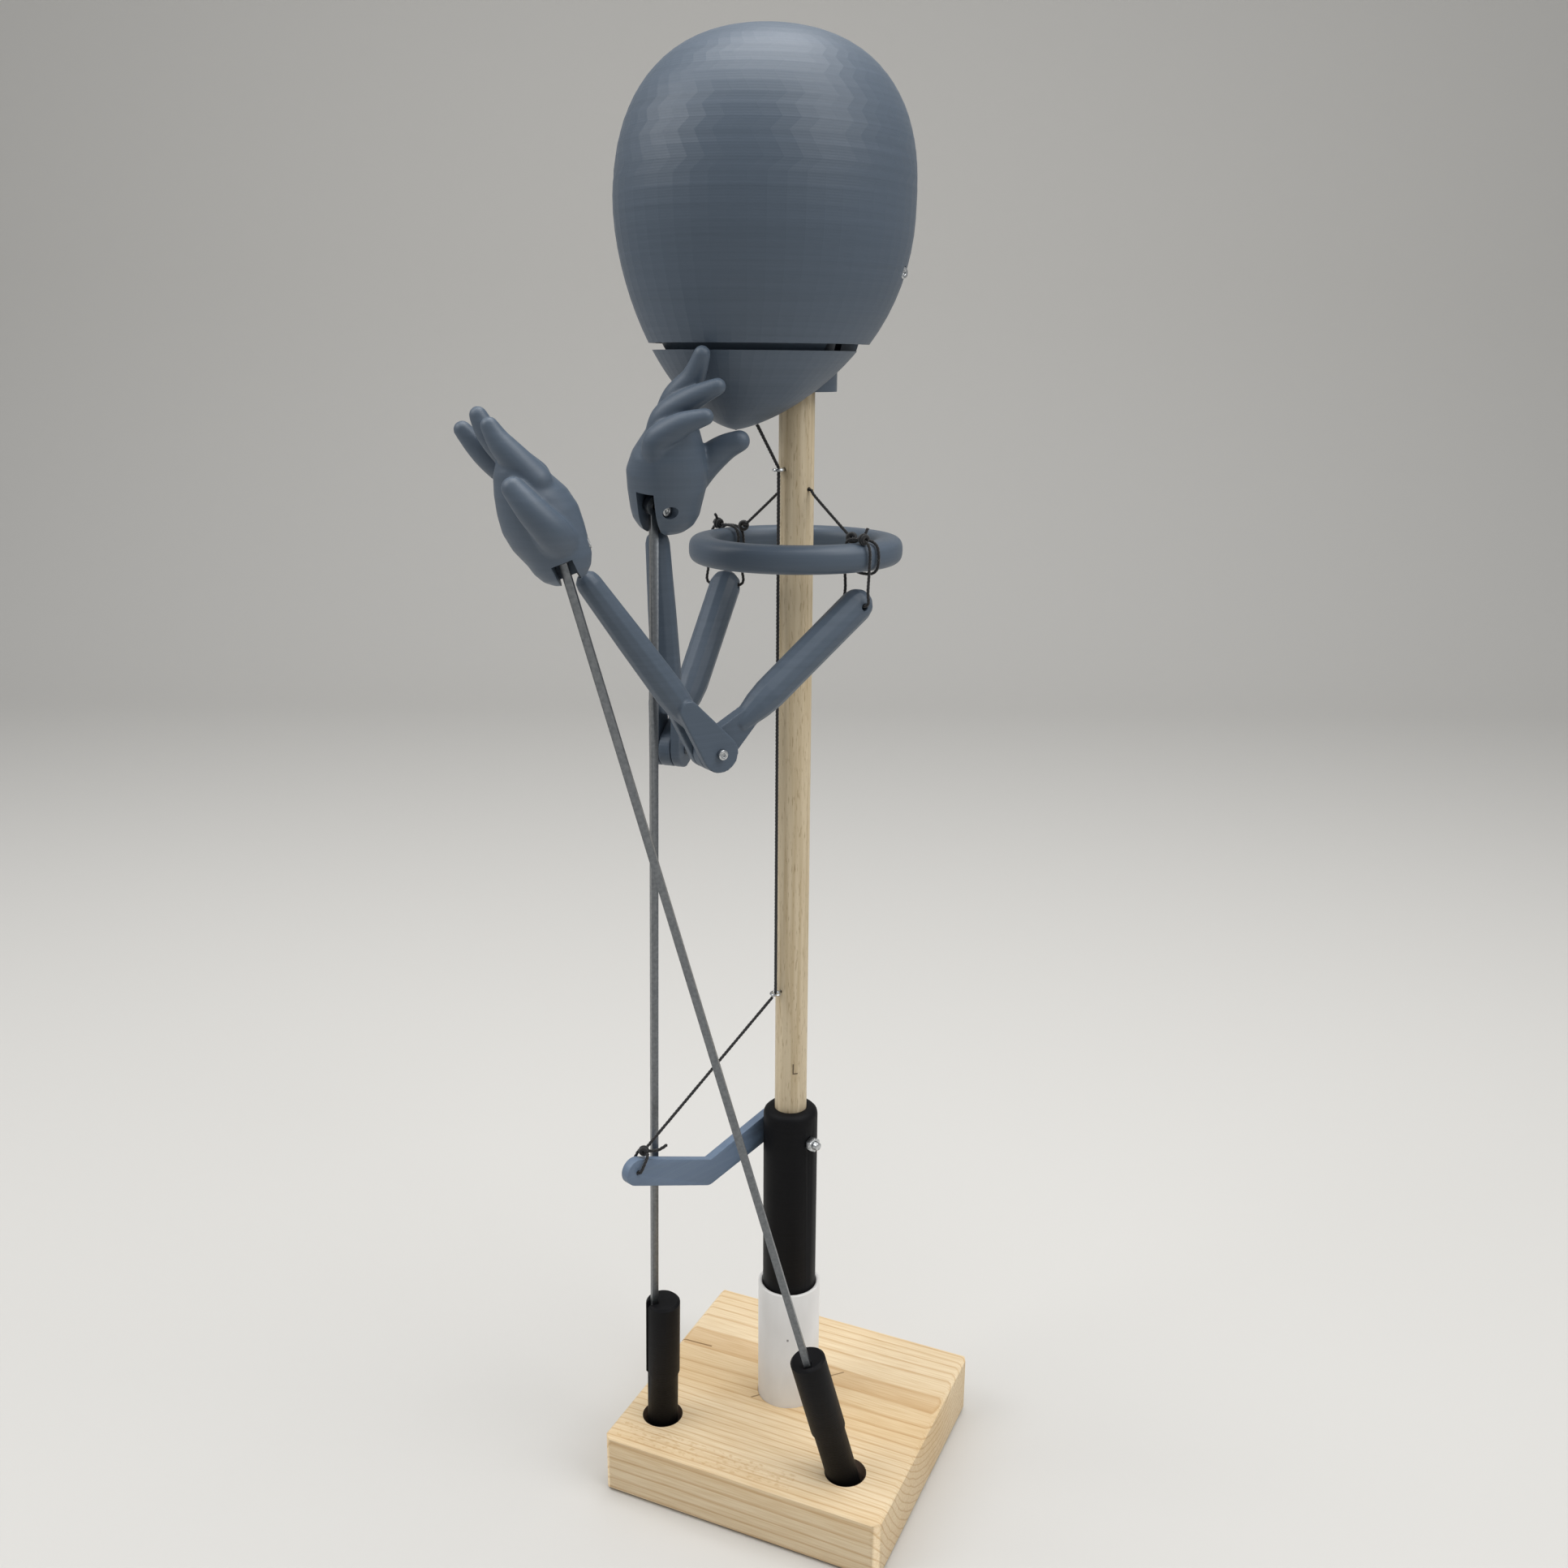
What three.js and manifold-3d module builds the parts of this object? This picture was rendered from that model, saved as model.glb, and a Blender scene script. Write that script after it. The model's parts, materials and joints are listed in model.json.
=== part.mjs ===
// A printed rod puppet parked on its wooden stand, in millimetres, +Z up.
// The origin is on the underside of the board, on the axis of the stand tube.
// The board lies square to X and Y with its front at -Y. The puppet is turned a little on the stand,
// so its own pieces are built in a group of their own, where it faces -Y and its left hand side is +X.

import * as THREE from 'three';
import { mergeVertices } from 'three/addons/utils/BufferGeometryUtils.js';
import Module from 'manifold-3d';

const wasm = await Module();
wasm.setup();

const rad = THREE.MathUtils.degToRad;
const vec = (x, y, z) => new THREE.Vector3(x, y, z);

// Fits
const FIT = 0.3;              // gap between pieces that touch
const RUNNING_FIT = 0.5;      // gap round a turning or sliding piece

// Stand
const BOARD_WIDTH = 189;
const BOARD_DEPTH = 174.5;
const BOARD_THICKNESS = 40.6;
const BOARD_OFFSET_X = 5;     // middle of the board from the tube axis
const BOARD_OFFSET_Y = -3.8;
const BOARD_EASE = 4;         // rounding of the board's edges
const TUBE_DIAMETER = 40;
const TUBE_WALL = 2.4;
const TUBE_TOP = 124.3;
const TUBE_SEAT_DEPTH = 15;   // blind hole in the board that holds the tube
const PEG_HOLE_DIAMETER = 25.4;
const PEG_HOLE_DEPTH = 17;
const PEG_HOLE_INSET_X = 30.5;   // from the ends and the front of a board that has the tube in its middle
const PEG_HOLE_INSET_Y = 30.25;
const PEG_HOLE_X = BOARD_WIDTH / 2 - PEG_HOLE_INSET_X;
const PEG_HOLE_Y = PEG_HOLE_INSET_Y - BOARD_DEPTH / 2;

// Head
const CHIN_HEIGHT = 664;
const HEAD_HEIGHT = 200.5;       // chin to crown
const WIDEST_SHARE = 0.5786;     // of that height, where the widest section lies
const MOUTH_SHARE = 0.2195;      // and where the mouth lies
const HEAD_TOP = CHIN_HEIGHT + HEAD_HEIGHT;
const HEAD_WIDEST = CHIN_HEIGHT + WIDEST_SHARE * HEAD_HEIGHT;
const MOUTH_HEIGHT = CHIN_HEIGHT + MOUTH_SHARE * HEAD_HEIGHT;
const HEAD_HALF_WIDTH = 74;
const HEAD_HALF_DEPTH = 84;
const HEAD_FORWARD = 24.5;       // middle of the widest section in front of the rod
const CHIN_FORWARD = 20;         // how much further forward the chin lies
const CROWN_BACK = 5;            // how much further back the crown lies
const HEAD_WALL = 2.8;
const MOUTH_GAP = 3.5;
const BACK_SPLIT = 31;           // plane where the back cover meets the face
const COVER_ABOVE_PLATE = 4.4;
const DOWEL_BELOW_WIDEST = 28;
const HINGE_BELOW_DOWEL = 6;     // jaw hinge below the top of the dowel
const HINGE_BACK = 20;           // and behind its axis
const HINGE_SCREW_DIAMETER = 3;
const HINGE_SCREW_HEAD = 6;
const JAW_INSET = 1.5;
const JAW_FORWARD = 2.5;
const JAW_OPEN = 12;             // degrees, sets the room left round the neck
const LIP_FOOT = 3;              // lip inside the jaw's rim that shuts the mouth to light: below the rim
const LIP_RISE = 1.2;            // and above the edge of the shell
const LIP_GAP = 2.6;
const LIP_WALL = 1.6;
const LIP_BACK = -28;            // how far back along the sides the lip runs
const EAR_INSIDE = 29.5;         // inner face of the jaw's ears
const EAR_THICKNESS = 4.5;
const NECK_DIAMETER = 44;
const NECK_BELOW_MOUTH = 23;
const NECK_SCREW_RISE = 27;      // from the bottom of the neck
const NECK_CAP = 5;
const HINGE_BAR_RADIUS = 7;
const NECK_PLATE_THICKNESS = 4;
const NECK_SPIGOT_RADIUS = 14;
const JAW_CORD_FORWARD = 31;     // where the control cord ties to the jaw
const ELASTIC_FORWARD = 62;
const ELASTIC_DIAMETER = 2.4;
const DOWEL_TOP = HEAD_WIDEST - DOWEL_BELOW_WIDEST;
const HINGE_HEIGHT = DOWEL_TOP - HINGE_BELOW_DOWEL;
const NECK_BOTTOM = MOUTH_HEIGHT - NECK_BELOW_MOUTH;
const PLATE_BOTTOM = DOWEL_TOP + FIT + NECK_CAP + FIT;
const BACK_COVER_BOTTOM = PLATE_BOTTOM + NECK_PLATE_THICKNESS + COVER_ABOVE_PLATE;

// Main rod, grip and trigger
const PUPPET_TURN = -20;      // degrees about Z, seen from above
const DOWEL_DIAMETER = 20;
const GRIP_DIAMETER = 34.2;
const GRIP_FLOOR = 8;
const GRIP_ROUNDING = 4.5;
const TRIGGER_HEIGHT = 230;
const GRIP_ABOVE_TRIGGER = 19.5;
const GRIP_TOP = TRIGGER_HEIGHT + GRIP_ABOVE_TRIGGER;
const TRIGGER_BOLT_DIAMETER = 5;
const LEVER_THICKNESS = 5.5;
const LEVER_BEND = [-53, -13];   // y and z from the pivot
const LEVER_TIP = [-111, 11];
const LEVER_PIVOT_RADIUS = 9;
const LEVER_BEND_RADIUS = 8.2;
const LEVER_TIP_RADIUS = 8;
const EYE_ABOVE_TRIGGER = 100.4;
const EYE_BELOW_CHIN = 20.8;
const EYE_HEIGHTS = [TRIGGER_HEIGHT + EYE_ABOVE_TRIGGER, CHIN_HEIGHT - EYE_BELOW_CHIN];
const EYE_RING_RADIUS = 2.8;
const EYE_WIRE = 1.7;
const EYE_STANDOFF = 4.2;        // middle of the eye from the dowel's surface
const CONTROL_CORD_DIAMETER = 2;

// Shoulder ring and its cords
const RING_BELOW_CHIN = 65;
const RING_HEIGHT = CHIN_HEIGHT - RING_BELOW_CHIN;
const RING_RADIUS = 52;          // to the middle of its section
const RING_WIDTH = 17;
const RING_DEPTH = 15.5;
const RING_CORD_DIAMETER = 1.8;
const CORD_HOLE_ABOVE_RING = 33.3;
const RING_CORD_HOLE_HEIGHT = RING_HEIGHT + CORD_HOLE_ABOVE_RING;
const SHOULDER_FORWARD = 6;
const SHOULDER_BELOW_RING = 26;
const SHOULDER_HEIGHT = RING_HEIGHT - SHOULDER_BELOW_RING;

// Arms
const UPPER_ARM_LENGTH = 114;  // shoulder hole to elbow screw
const FOREARM_LENGTH = 136.5;    // elbow screw to the middle of the heel, behind the rod
const UPPER_ARM_DIAMETER = 18.6;
const FOREARM_DIAMETER = 17;
const FOREARM_WRIST_DIAMETER = 13;
const SHOULDER_HOLE_DIAMETER = 4;
const ELBOW_RADIUS = 10.3;
const ELBOW_TONGUE = 7;
const ELBOW_EAR = 5;
const ELBOW_NECK_RADIUS = 5.4;   // half width of tongue and ears where they meet the bars
const ELBOW_NECK = 21;           // from the elbow screw to the start of each bar
const ARM_SCREW_DIAMETER = 3;
const ARM_SCREW_HEAD = 5.5;
const ARM_NUT_WIDTH = 5.5;
const ARM_NUT_HEIGHT = 2.4;
const WRIST_STANDOFF = 14.5;     // end of the forearm bar from the end of its line
const WRIST_TIE_DIAMETER = 3.6;

// Hands, in their own frame: Z to the fingers, palm towards -Y, thumb towards +X.
// Both have the same palm, given as rows of height, half width, half depth and middle in X and Y.
const PALM_ROWS = [
  [-13.5, 7.5, 8, 0, 0], [-10, 11.8, 12, 0, -0.3], [-5, 14.6, 14.6, 0, -0.5], [0, 16.2, 15.6, 0, -0.8],
  [9, 18, 18, 0, -2], [18, 19.3, 19, 0, -2.4], [27, 19.5, 17.5, 0.5, -2.8], [36, 17.5, 14, 2, -4],
  [44, 14, 10, 3.5, -5], [49, 9, 6.5, 5, -5],
];
const HEEL_ROUNDING = 2;         // beyond the first and the last row
const HEEL_HALF_WIDTH = 16.2;
const FINGER_RADII = [7.6, 6.6, 5.6, 3.9];
const THUMB_RADII = [9.6, 7.6, 6.4, 4.7];
const OPEN_DIGITS = {
  index: [[11, 2, 35], [12, -2.5, 47], [12, -6, 56.5], [12, -7.5, 65]],
  middle: [[0, 2, 37], [0, -5.5, 52], [0, -9.5, 62.5], [0, -10.5, 71.5]],
  ring: [[-10, 1, 33], [-12, -9.5, 45.5], [-12, -16, 57.5], [-12, -20, 68.5]],
  thumb: [[6, -3, 8], [13, -3.5, 17], [15, -6, 26.5], [13, -10, 37]],
};
const PINCHING_DIGITS = {
  index: [[11, 0, 35], [12, -5.5, 47], [12, -15, 56], [12, -20.5, 66]],
  middle: [[0, 2, 31], [0, -2, 42.5], [0, -15, 50.5], [0, -28.5, 55.5]],
  ring: [[-10, 1, 25], [-12, 0.5, 35], [-12.5, -11.5, 42.5], [-12, -24, 46]],
  thumb: [[8, -8, 6], [9, -18.5, 17], [9, -28, 25], [8, -36, 29.5]],
};
const SLOT_WIDTH = 10.5;
const SLOT_TOP = 8;
const SEAT_DEPTH = 4;            // of the wrist screw's head and nut in the heel
const ROD_SIDE = 4;              // square steel rod
const ROD_EYE_RADIUS = 5.4;
const ROD_EYE_HOLE = 4.4;

// Rod handles
const HANDLE_DIAMETER = 21.5;
const HANDLE_LENGTH = 56;
const PEG_DIAMETER = 19.5;
const PEG_LENGTH = 51;
const GROOVE_OFFSET = 5.6;       // rod from the middle of the handle

// Where each hand is held: its wrist and the end of its forearm's line behind it, how far short of that end
// the forearm's tie stops, the way its palm faces,
// its lean, how far the slot for the rod is turned from the palm, the side it opens on, how high it opens
// and how far the palm stands behind the screw, the side the rod's groove faces, and whether the rod
// stands in a closed bore of its handle or in an open groove.
// Wrists are given in X and Y from the tube and in Z from the shoulders.
const LEFT_WRIST = [-44.5, -176, 40];
const LEFT_HEEL = [-4.3, 10.5];
const RIGHT_WRIST = [-37.3, -97.4, 56.5];
const RIGHT_HEEL = [-5.4, 11.2];
const ARMS = [
  {
    side: 'left', sign: 1, wrist: LEFT_WRIST, heel: LEFT_HEEL, tieStandoff: 10.5, digits: OPEN_DIGITS,
    palm: -55, leanForward: 20.6, leanSide: -4,
    slotTurn: 85, opening: -1, windowTop: 1.5, behind: 0, groove: 24, bored: true,
  },
  {
    side: 'right', sign: -1, wrist: RIGHT_WRIST, heel: RIGHT_HEEL, tieStandoff: 12.5, digits: PINCHING_DIGITS,
    palm: 108, leanForward: 0, leanSide: -17,
    slotTurn: 46, opening: 1, windowTop: 12, behind: 9, groove: -45, bored: false,
  },
].map((arm) => ({ ...arm, wrist: vec(...arm.wrist).add(vec(0, 0, SHOULDER_HEIGHT)) }));

const finish = (color, roughness, metalness = 0) => ({ color, roughness, metalness });
const PLA_SLATE = finish(0x4f5c6b, 0.55);
const PLA_LEVER = finish(0x66788c, 0.5);
const PLA_BLACK = finish(0x1d1e20, 0.55);
const PINE = finish(0xe0c299, 0.7);
const DOWEL_WOOD = finish(0xc9b899, 0.65);
const PVC_WHITE = finish(0xdedcd9, 0.4);
const STEEL_ROD = finish(0x6f6f68, 0.4, 0.9);
const ZINC = finish(0xb9bcbe, 0.3, 1);
const CORD_BLACK = finish(0x151515, 0.85);

// Solids

function solidOf(geometry) {
  const bare = geometry.index ? geometry.clone() : geometry;
  bare.deleteAttribute('normal');
  bare.deleteAttribute('uv');
  const merged = mergeVertices(bare, 1e-4);
  const triVerts = [];
  const index = merged.index.array;
  for (let i = 0; i < index.length; i += 3) {
    const [a, b, c] = index.slice(i, i + 3);
    if (a !== b && b !== c && c !== a) triVerts.push(a, b, c);
  }
  const vertProperties = new Float32Array(merged.attributes.position.array);
  const make = (tris) => new wasm.Manifold(new wasm.Mesh({
    numProp: 3, vertProperties, triVerts: new Uint32Array(tris),
  }));
  const solid = make(triVerts);
  if (solid.volume() > 0) return solid;
  for (let i = 0; i < triVerts.length; i += 3) {
    [triVerts[i], triVerts[i + 1]] = [triVerts[i + 1], triVerts[i]];
  }
  return make(triVerts);
}

function geometryOf(solid) {
  const mesh = solid.getMesh();
  const geometry = new THREE.BufferGeometry();
  geometry.setAttribute('position', new THREE.Float32BufferAttribute(mesh.vertProperties, 3));
  geometry.setIndex(Array.from(mesh.triVerts));
  geometry.computeVertexNormals();
  return geometry;
}

const join = (...geometries) => geometries.map(solidOf).reduce((a, b) => a.add(b));
const cut = (solid, ...geometries) => geometries.map(solidOf).reduce((a, b) => a.subtract(b), solid);

function piece(parent, name, solid, look) {
  const mesh = new THREE.Mesh(geometryOf(solid), new THREE.MeshStandardMaterial(look));
  mesh.name = name;
  parent.add(mesh);
  return mesh;
}

// Forms

function boxAt(width, depth, height, x, y, z) {
  return new THREE.BoxGeometry(width, depth, height).translate(x, y, z);
}

function turned(profile, sides = 32) {
  const points = profile.map(([r, z]) => new THREE.Vector2(r, z));
  return new THREE.LatheGeometry(points, sides).rotateX(Math.PI / 2);
}

function aim(geometry, from, to) {
  const turn = new THREE.Quaternion().setFromUnitVectors(vec(0, 1, 0), to.clone().sub(from).normalize());
  const middle = from.clone().add(to).multiplyScalar(0.5);
  return geometry.applyQuaternion(turn).translate(middle.x, middle.y, middle.z);
}

function cylinder(from, to, radius, sides = 20) {
  return aim(new THREE.CylinderGeometry(radius, radius, from.distanceTo(to), sides), from, to);
}

function across(radius, xFrom, xTo, y, z, sides = 20) {
  return cylinder(vec(xFrom, y, z), vec(xTo, y, z), radius, sides);
}

// A flat link with a round end about each of two points, as thick as given along its third axis.
function flatLink(a, radiusA, b, radiusB, thickness) {
  const along = Math.atan2(b[1] - a[1], b[0] - a[0]);
  const spread = Math.acos((radiusA - radiusB) / Math.hypot(b[0] - a[0], b[1] - a[1]));
  const shape = new THREE.Shape();
  shape.absarc(b[0], b[1], radiusB, along - spread, along + spread, false);
  shape.absarc(a[0], a[1], radiusA, along + spread, along - spread + 2 * Math.PI, false);
  const solid = new THREE.ExtrudeGeometry(shape, { depth: thickness, bevelEnabled: false, curveSegments: 8 });
  return solid.translate(0, 0, -thickness / 2);
}

// Skin over rings of as many points each, closed by an apex at both ends or into a loop.
function loft(rings, startApex, endApex) {
  const count = rings[0].length;
  const positions = rings.flat().flatMap((p) => [p.x, p.y, p.z]);
  const index = [];
  const last = startApex ? rings.length - 1 : rings.length;
  for (let r = 0; r < last; r += 1) {
    const next = (r + 1) % rings.length;
    for (let i = 0; i < count; i += 1) {
      const j = (i + 1) % count;
      index.push(r * count + i, r * count + j, next * count + j);
      index.push(r * count + i, next * count + j, next * count + i);
    }
  }
  if (startApex) {
    positions.push(startApex.x, startApex.y, startApex.z, endApex.x, endApex.y, endApex.z);
    const start = rings.length * count;
    const lastRing = (rings.length - 1) * count;
    for (let i = 0; i < count; i += 1) {
      const j = (i + 1) % count;
      index.push(start, j, i, start + 1, lastRing + i, lastRing + j);
    }
  }
  const geometry = new THREE.BufferGeometry();
  geometry.setAttribute('position', new THREE.Float32BufferAttribute(positions, 3));
  geometry.setIndex(index);
  return geometry;
}

// A limb along a smooth curve through the points, with a radius at each and round ends.
function limb(points, radii, sides = 8, steps = 6) {
  const curve = new THREE.CatmullRomCurve3(points);
  const frames = curve.computeFrenetFrames(steps, false);
  const ringAt = (centre, step, radius) => Array.from({ length: sides }, (_, i) => {
    const angle = (i / sides) * 2 * Math.PI;
    return centre.clone()
      .addScaledVector(frames.normals[step], radius * Math.cos(angle))
      .addScaledVector(frames.binormals[step], radius * Math.sin(angle));
  });
  const radiusAt = (t) => {
    const place = t * (radii.length - 1);
    const low = Math.min(Math.floor(place), radii.length - 2);
    return THREE.MathUtils.lerp(radii[low], radii[low + 1], place - low);
  };
  const rounding = [60, 30];
  const start = curve.getPoint(0);
  const end = curve.getPoint(1);
  const [inward, outward] = [frames.tangents[0], frames.tangents[steps]];
  const dome = (centre, step, radius, direction, degrees) => ringAt(
    centre.clone().addScaledVector(direction, radius * Math.sin(rad(degrees))), step,
    radius * Math.cos(rad(degrees)),
  );
  const rings = rounding.map((d) => dome(start, 0, radii[0], inward, -d));
  for (let s = 0; s <= steps; s += 1) rings.push(ringAt(curve.getPoint(s / steps), s, radiusAt(s / steps)));
  const tip = radii.at(-1);
  rounding.toReversed().forEach((d) => rings.push(dome(end, steps, tip, outward, d)));
  return loft(
    rings, start.clone().addScaledVector(inward, -radii[0]), end.clone().addScaledVector(outward, tip),
  );
}

function circleShape(radius, sides) {
  return new THREE.Shape(Array.from({ length: sides }, (_, i) => {
    const angle = (i / sides) * 2 * Math.PI;
    return new THREE.Vector2(radius * Math.cos(angle), radius * Math.sin(angle));
  }));
}

// A cord along the points: straight spans where there are two, one smooth curve where there are more.
function cordAlong(points, diameter, steps = points.length * 3) {
  const path = points.length === 2 ? new THREE.LineCurve3(...points) : new THREE.CatmullRomCurve3(points);
  return new THREE.ExtrudeGeometry(circleShape(diameter / 2, 8), { steps, extrudePath: path });
}

// A cord tied into a closed loop through the points.
function cordLoop(points, diameter, steps) {
  const curve = new THREE.CatmullRomCurve3(points, true);
  const frames = curve.computeFrenetFrames(steps, true);
  const sides = 8;
  const rings = Array.from({ length: steps }, (_, s) => Array.from({ length: sides }, (_, i) => {
    const angle = (i / sides) * 2 * Math.PI;
    return curve.getPoint(s / steps)
      .addScaledVector(frames.normals[s], (diameter / 2) * Math.cos(angle))
      .addScaledVector(frames.binormals[s], (diameter / 2) * Math.sin(angle));
  }));
  return loft(rings);
}

function knotAt(point, radius) {
  return new THREE.SphereGeometry(radius, 8, 6).translate(point.x, point.y, point.z);
}

// Stand

function baseBoard() {
  const [halfWidth, halfDepth] = [BOARD_WIDTH / 2 - BOARD_EASE, BOARD_DEPTH / 2 - BOARD_EASE];
  const shape = new THREE.Shape();
  shape.moveTo(-halfWidth, -halfDepth);
  shape.lineTo(halfWidth, -halfDepth);
  shape.lineTo(halfWidth, halfDepth);
  shape.lineTo(-halfWidth, halfDepth);
  const board = new THREE.ExtrudeGeometry(shape, {
    depth: BOARD_THICKNESS - 2 * BOARD_EASE,
    bevelSize: BOARD_EASE,
    bevelThickness: BOARD_EASE,
    bevelSegments: 3,
  }).translate(BOARD_OFFSET_X, BOARD_OFFSET_Y, BOARD_EASE);
  const hole = (x, y, diameter, depth) => cylinder(
    vec(x, y, BOARD_THICKNESS - depth), vec(x, y, BOARD_THICKNESS + 1), diameter / 2, 36,
  );
  return cut(
    join(board),
    hole(0, 0, TUBE_DIAMETER + 2 * FIT, TUBE_SEAT_DEPTH),
    ...[-PEG_HOLE_X, PEG_HOLE_X].map((x) => hole(x, PEG_HOLE_Y, PEG_HOLE_DIAMETER, PEG_HOLE_DEPTH)),
  );
}

const SEAT_FLOOR = BOARD_THICKNESS - TUBE_SEAT_DEPTH;
const TUBE_BORE = TUBE_DIAMETER / 2 - TUBE_WALL;

function standTube() {
  const bottom = SEAT_FLOOR + FIT;
  const outer = TUBE_DIAMETER / 2;
  return join(turned([
    [TUBE_BORE, bottom], [outer, bottom], [outer, TUBE_TOP], [TUBE_BORE, TUBE_TOP], [TUBE_BORE, bottom],
  ], 36));
}

// Main rod, grip and trigger

const DOWEL_RADIUS = DOWEL_DIAMETER / 2;
const GRIP_RADIUS = GRIP_DIAMETER / 2;
const GRIP_BOTTOM = SEAT_FLOOR + FIT;
const DOWEL_BOTTOM = GRIP_BOTTOM + GRIP_FLOOR + FIT;
const EYE_FORWARD = DOWEL_RADIUS + EYE_STANDOFF;
const EYE_SHANK = 8;
const NECK_SCREW_HEIGHT = NECK_BOTTOM + NECK_SCREW_RISE;
const NECK_SCREW_DIAMETER = 3;
const LEVER_INNER = -(GRIP_RADIUS + RUNNING_FIT);
const BOLT_RADIUS = TRIGGER_BOLT_DIAMETER / 2;

function mainRod() {
  const dowel = cylinder(vec(0, 0, DOWEL_BOTTOM), vec(0, 0, DOWEL_TOP), DOWEL_RADIUS, 28);
  const through = 2 * DOWEL_DIAMETER;
  return cut(
    join(dowel),
    across(BOLT_RADIUS + FIT, -through, through, 0, TRIGGER_HEIGHT),
    across(RING_CORD_DIAMETER / 2 + RUNNING_FIT, -through, through, 0, RING_CORD_HOLE_HEIGHT, 10),
    ...EYE_HEIGHTS.map((z) => cylinder(
      vec(0, -through, z), vec(0, -DOWEL_RADIUS + EYE_SHANK + FIT, z), EYE_WIRE / 2 + FIT, 10,
    )),
    cylinder(
      vec(0, 0, NECK_SCREW_HEIGHT), vec(0, through, NECK_SCREW_HEIGHT), NECK_SCREW_DIAMETER / 2 + FIT, 10,
    ),
  );
}

function grip() {
  const bore = DOWEL_RADIUS + FIT;
  const floor = GRIP_BOTTOM + GRIP_FLOOR;
  const rounding = [0, 30, 60, 90].map((d) => [
    GRIP_RADIUS - GRIP_ROUNDING + GRIP_ROUNDING * Math.cos(rad(d)),
    GRIP_TOP - GRIP_ROUNDING + GRIP_ROUNDING * Math.sin(rad(d)),
  ]);
  const body = turned([
    [0, GRIP_BOTTOM], [GRIP_RADIUS - 1, GRIP_BOTTOM], [GRIP_RADIUS, GRIP_BOTTOM + 1], ...rounding,
    [bore, GRIP_TOP], [bore, floor], [0, floor],
  ], 28);
  return cut(join(body), across(BOLT_RADIUS + FIT, -GRIP_DIAMETER, GRIP_DIAMETER, 0, TRIGGER_HEIGHT));
}

function screwEye(height) {
  const wire = EYE_WIRE / 2;
  const ring = new THREE.TorusGeometry(EYE_RING_RADIUS, wire, 6, 14).translate(0, -EYE_FORWARD, height);
  const shank = cylinder(
    vec(0, -EYE_FORWARD + EYE_RING_RADIUS, height), vec(0, -DOWEL_RADIUS + EYE_SHANK, height), wire, 10,
  );
  return join(ring, shank);
}

// The lever lies in a plane at the right side of the grip and turns about the bolt.
function triggerLever() {
  const upright = (link) => link.rotateX(Math.PI / 2).rotateZ(Math.PI / 2);
  const middle = LEVER_INNER - LEVER_THICKNESS / 2;
  const cordHole = CONTROL_CORD_DIAMETER / 2 + RUNNING_FIT;
  const links = [
    flatLink([0, 0], LEVER_PIVOT_RADIUS, LEVER_BEND, LEVER_BEND_RADIUS, LEVER_THICKNESS),
    flatLink(LEVER_BEND, LEVER_BEND_RADIUS, LEVER_TIP, LEVER_TIP_RADIUS, LEVER_THICKNESS),
  ].map((link) => upright(link).translate(middle, 0, TRIGGER_HEIGHT));
  return cut(
    join(...links),
    across(BOLT_RADIUS + FIT, -GRIP_DIAMETER, 0, 0, TRIGGER_HEIGHT),
    across(cordHole, -GRIP_DIAMETER, 0, LEVER_TIP[0], TRIGGER_HEIGHT + LEVER_TIP[1], 10),
  );
}

const LEVER_OUTER = LEVER_INNER - LEVER_THICKNESS;
const BOLT_HEAD_HEIGHT = 3.5;
const NUT_HEIGHT = 4;
const NUT_RADIUS = 4.6;
const BOLT_END = GRIP_RADIUS + FIT + NUT_HEIGHT + 3;

function triggerBolt() {
  return join(
    across(BOLT_RADIUS, LEVER_OUTER - FIT, BOLT_END, 0, TRIGGER_HEIGHT, 16),
    across(BOLT_RADIUS * 1.8, LEVER_OUTER - FIT - BOLT_HEAD_HEIGHT, LEVER_OUTER - FIT, 0, TRIGGER_HEIGHT, 16),
  );
}

function hexNut(radius, bore, height) {
  const nut = join(new THREE.CylinderGeometry(radius, radius, height, 6).rotateZ(Math.PI / 2));
  return cut(nut, across(bore, -height, height, 0, 0, 10));
}

const armNut = () => hexNut((ARM_NUT_WIDTH / 2) * 1.15, ARM_SCREW_DIAMETER / 2 + FIT, ARM_NUT_HEIGHT);

// Head: an egg whose sections are ellipses, further forward towards the chin

function headSection(height) {
  if (height >= HEAD_WIDEST) {
    const rise = (height - HEAD_WIDEST) / (HEAD_TOP - HEAD_WIDEST);
    const fullness = 2.4;
    return { scale: (1 - rise ** fullness) ** (1 / fullness), forward: HEAD_FORWARD - CROWN_BACK * rise };
  }
  const fall = (HEAD_WIDEST - height) / (HEAD_WIDEST - CHIN_HEIGHT);
  return { scale: (1 - fall ** 2) ** 0.65, forward: HEAD_FORWARD + CHIN_FORWARD * fall ** 3 };
}

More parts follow.
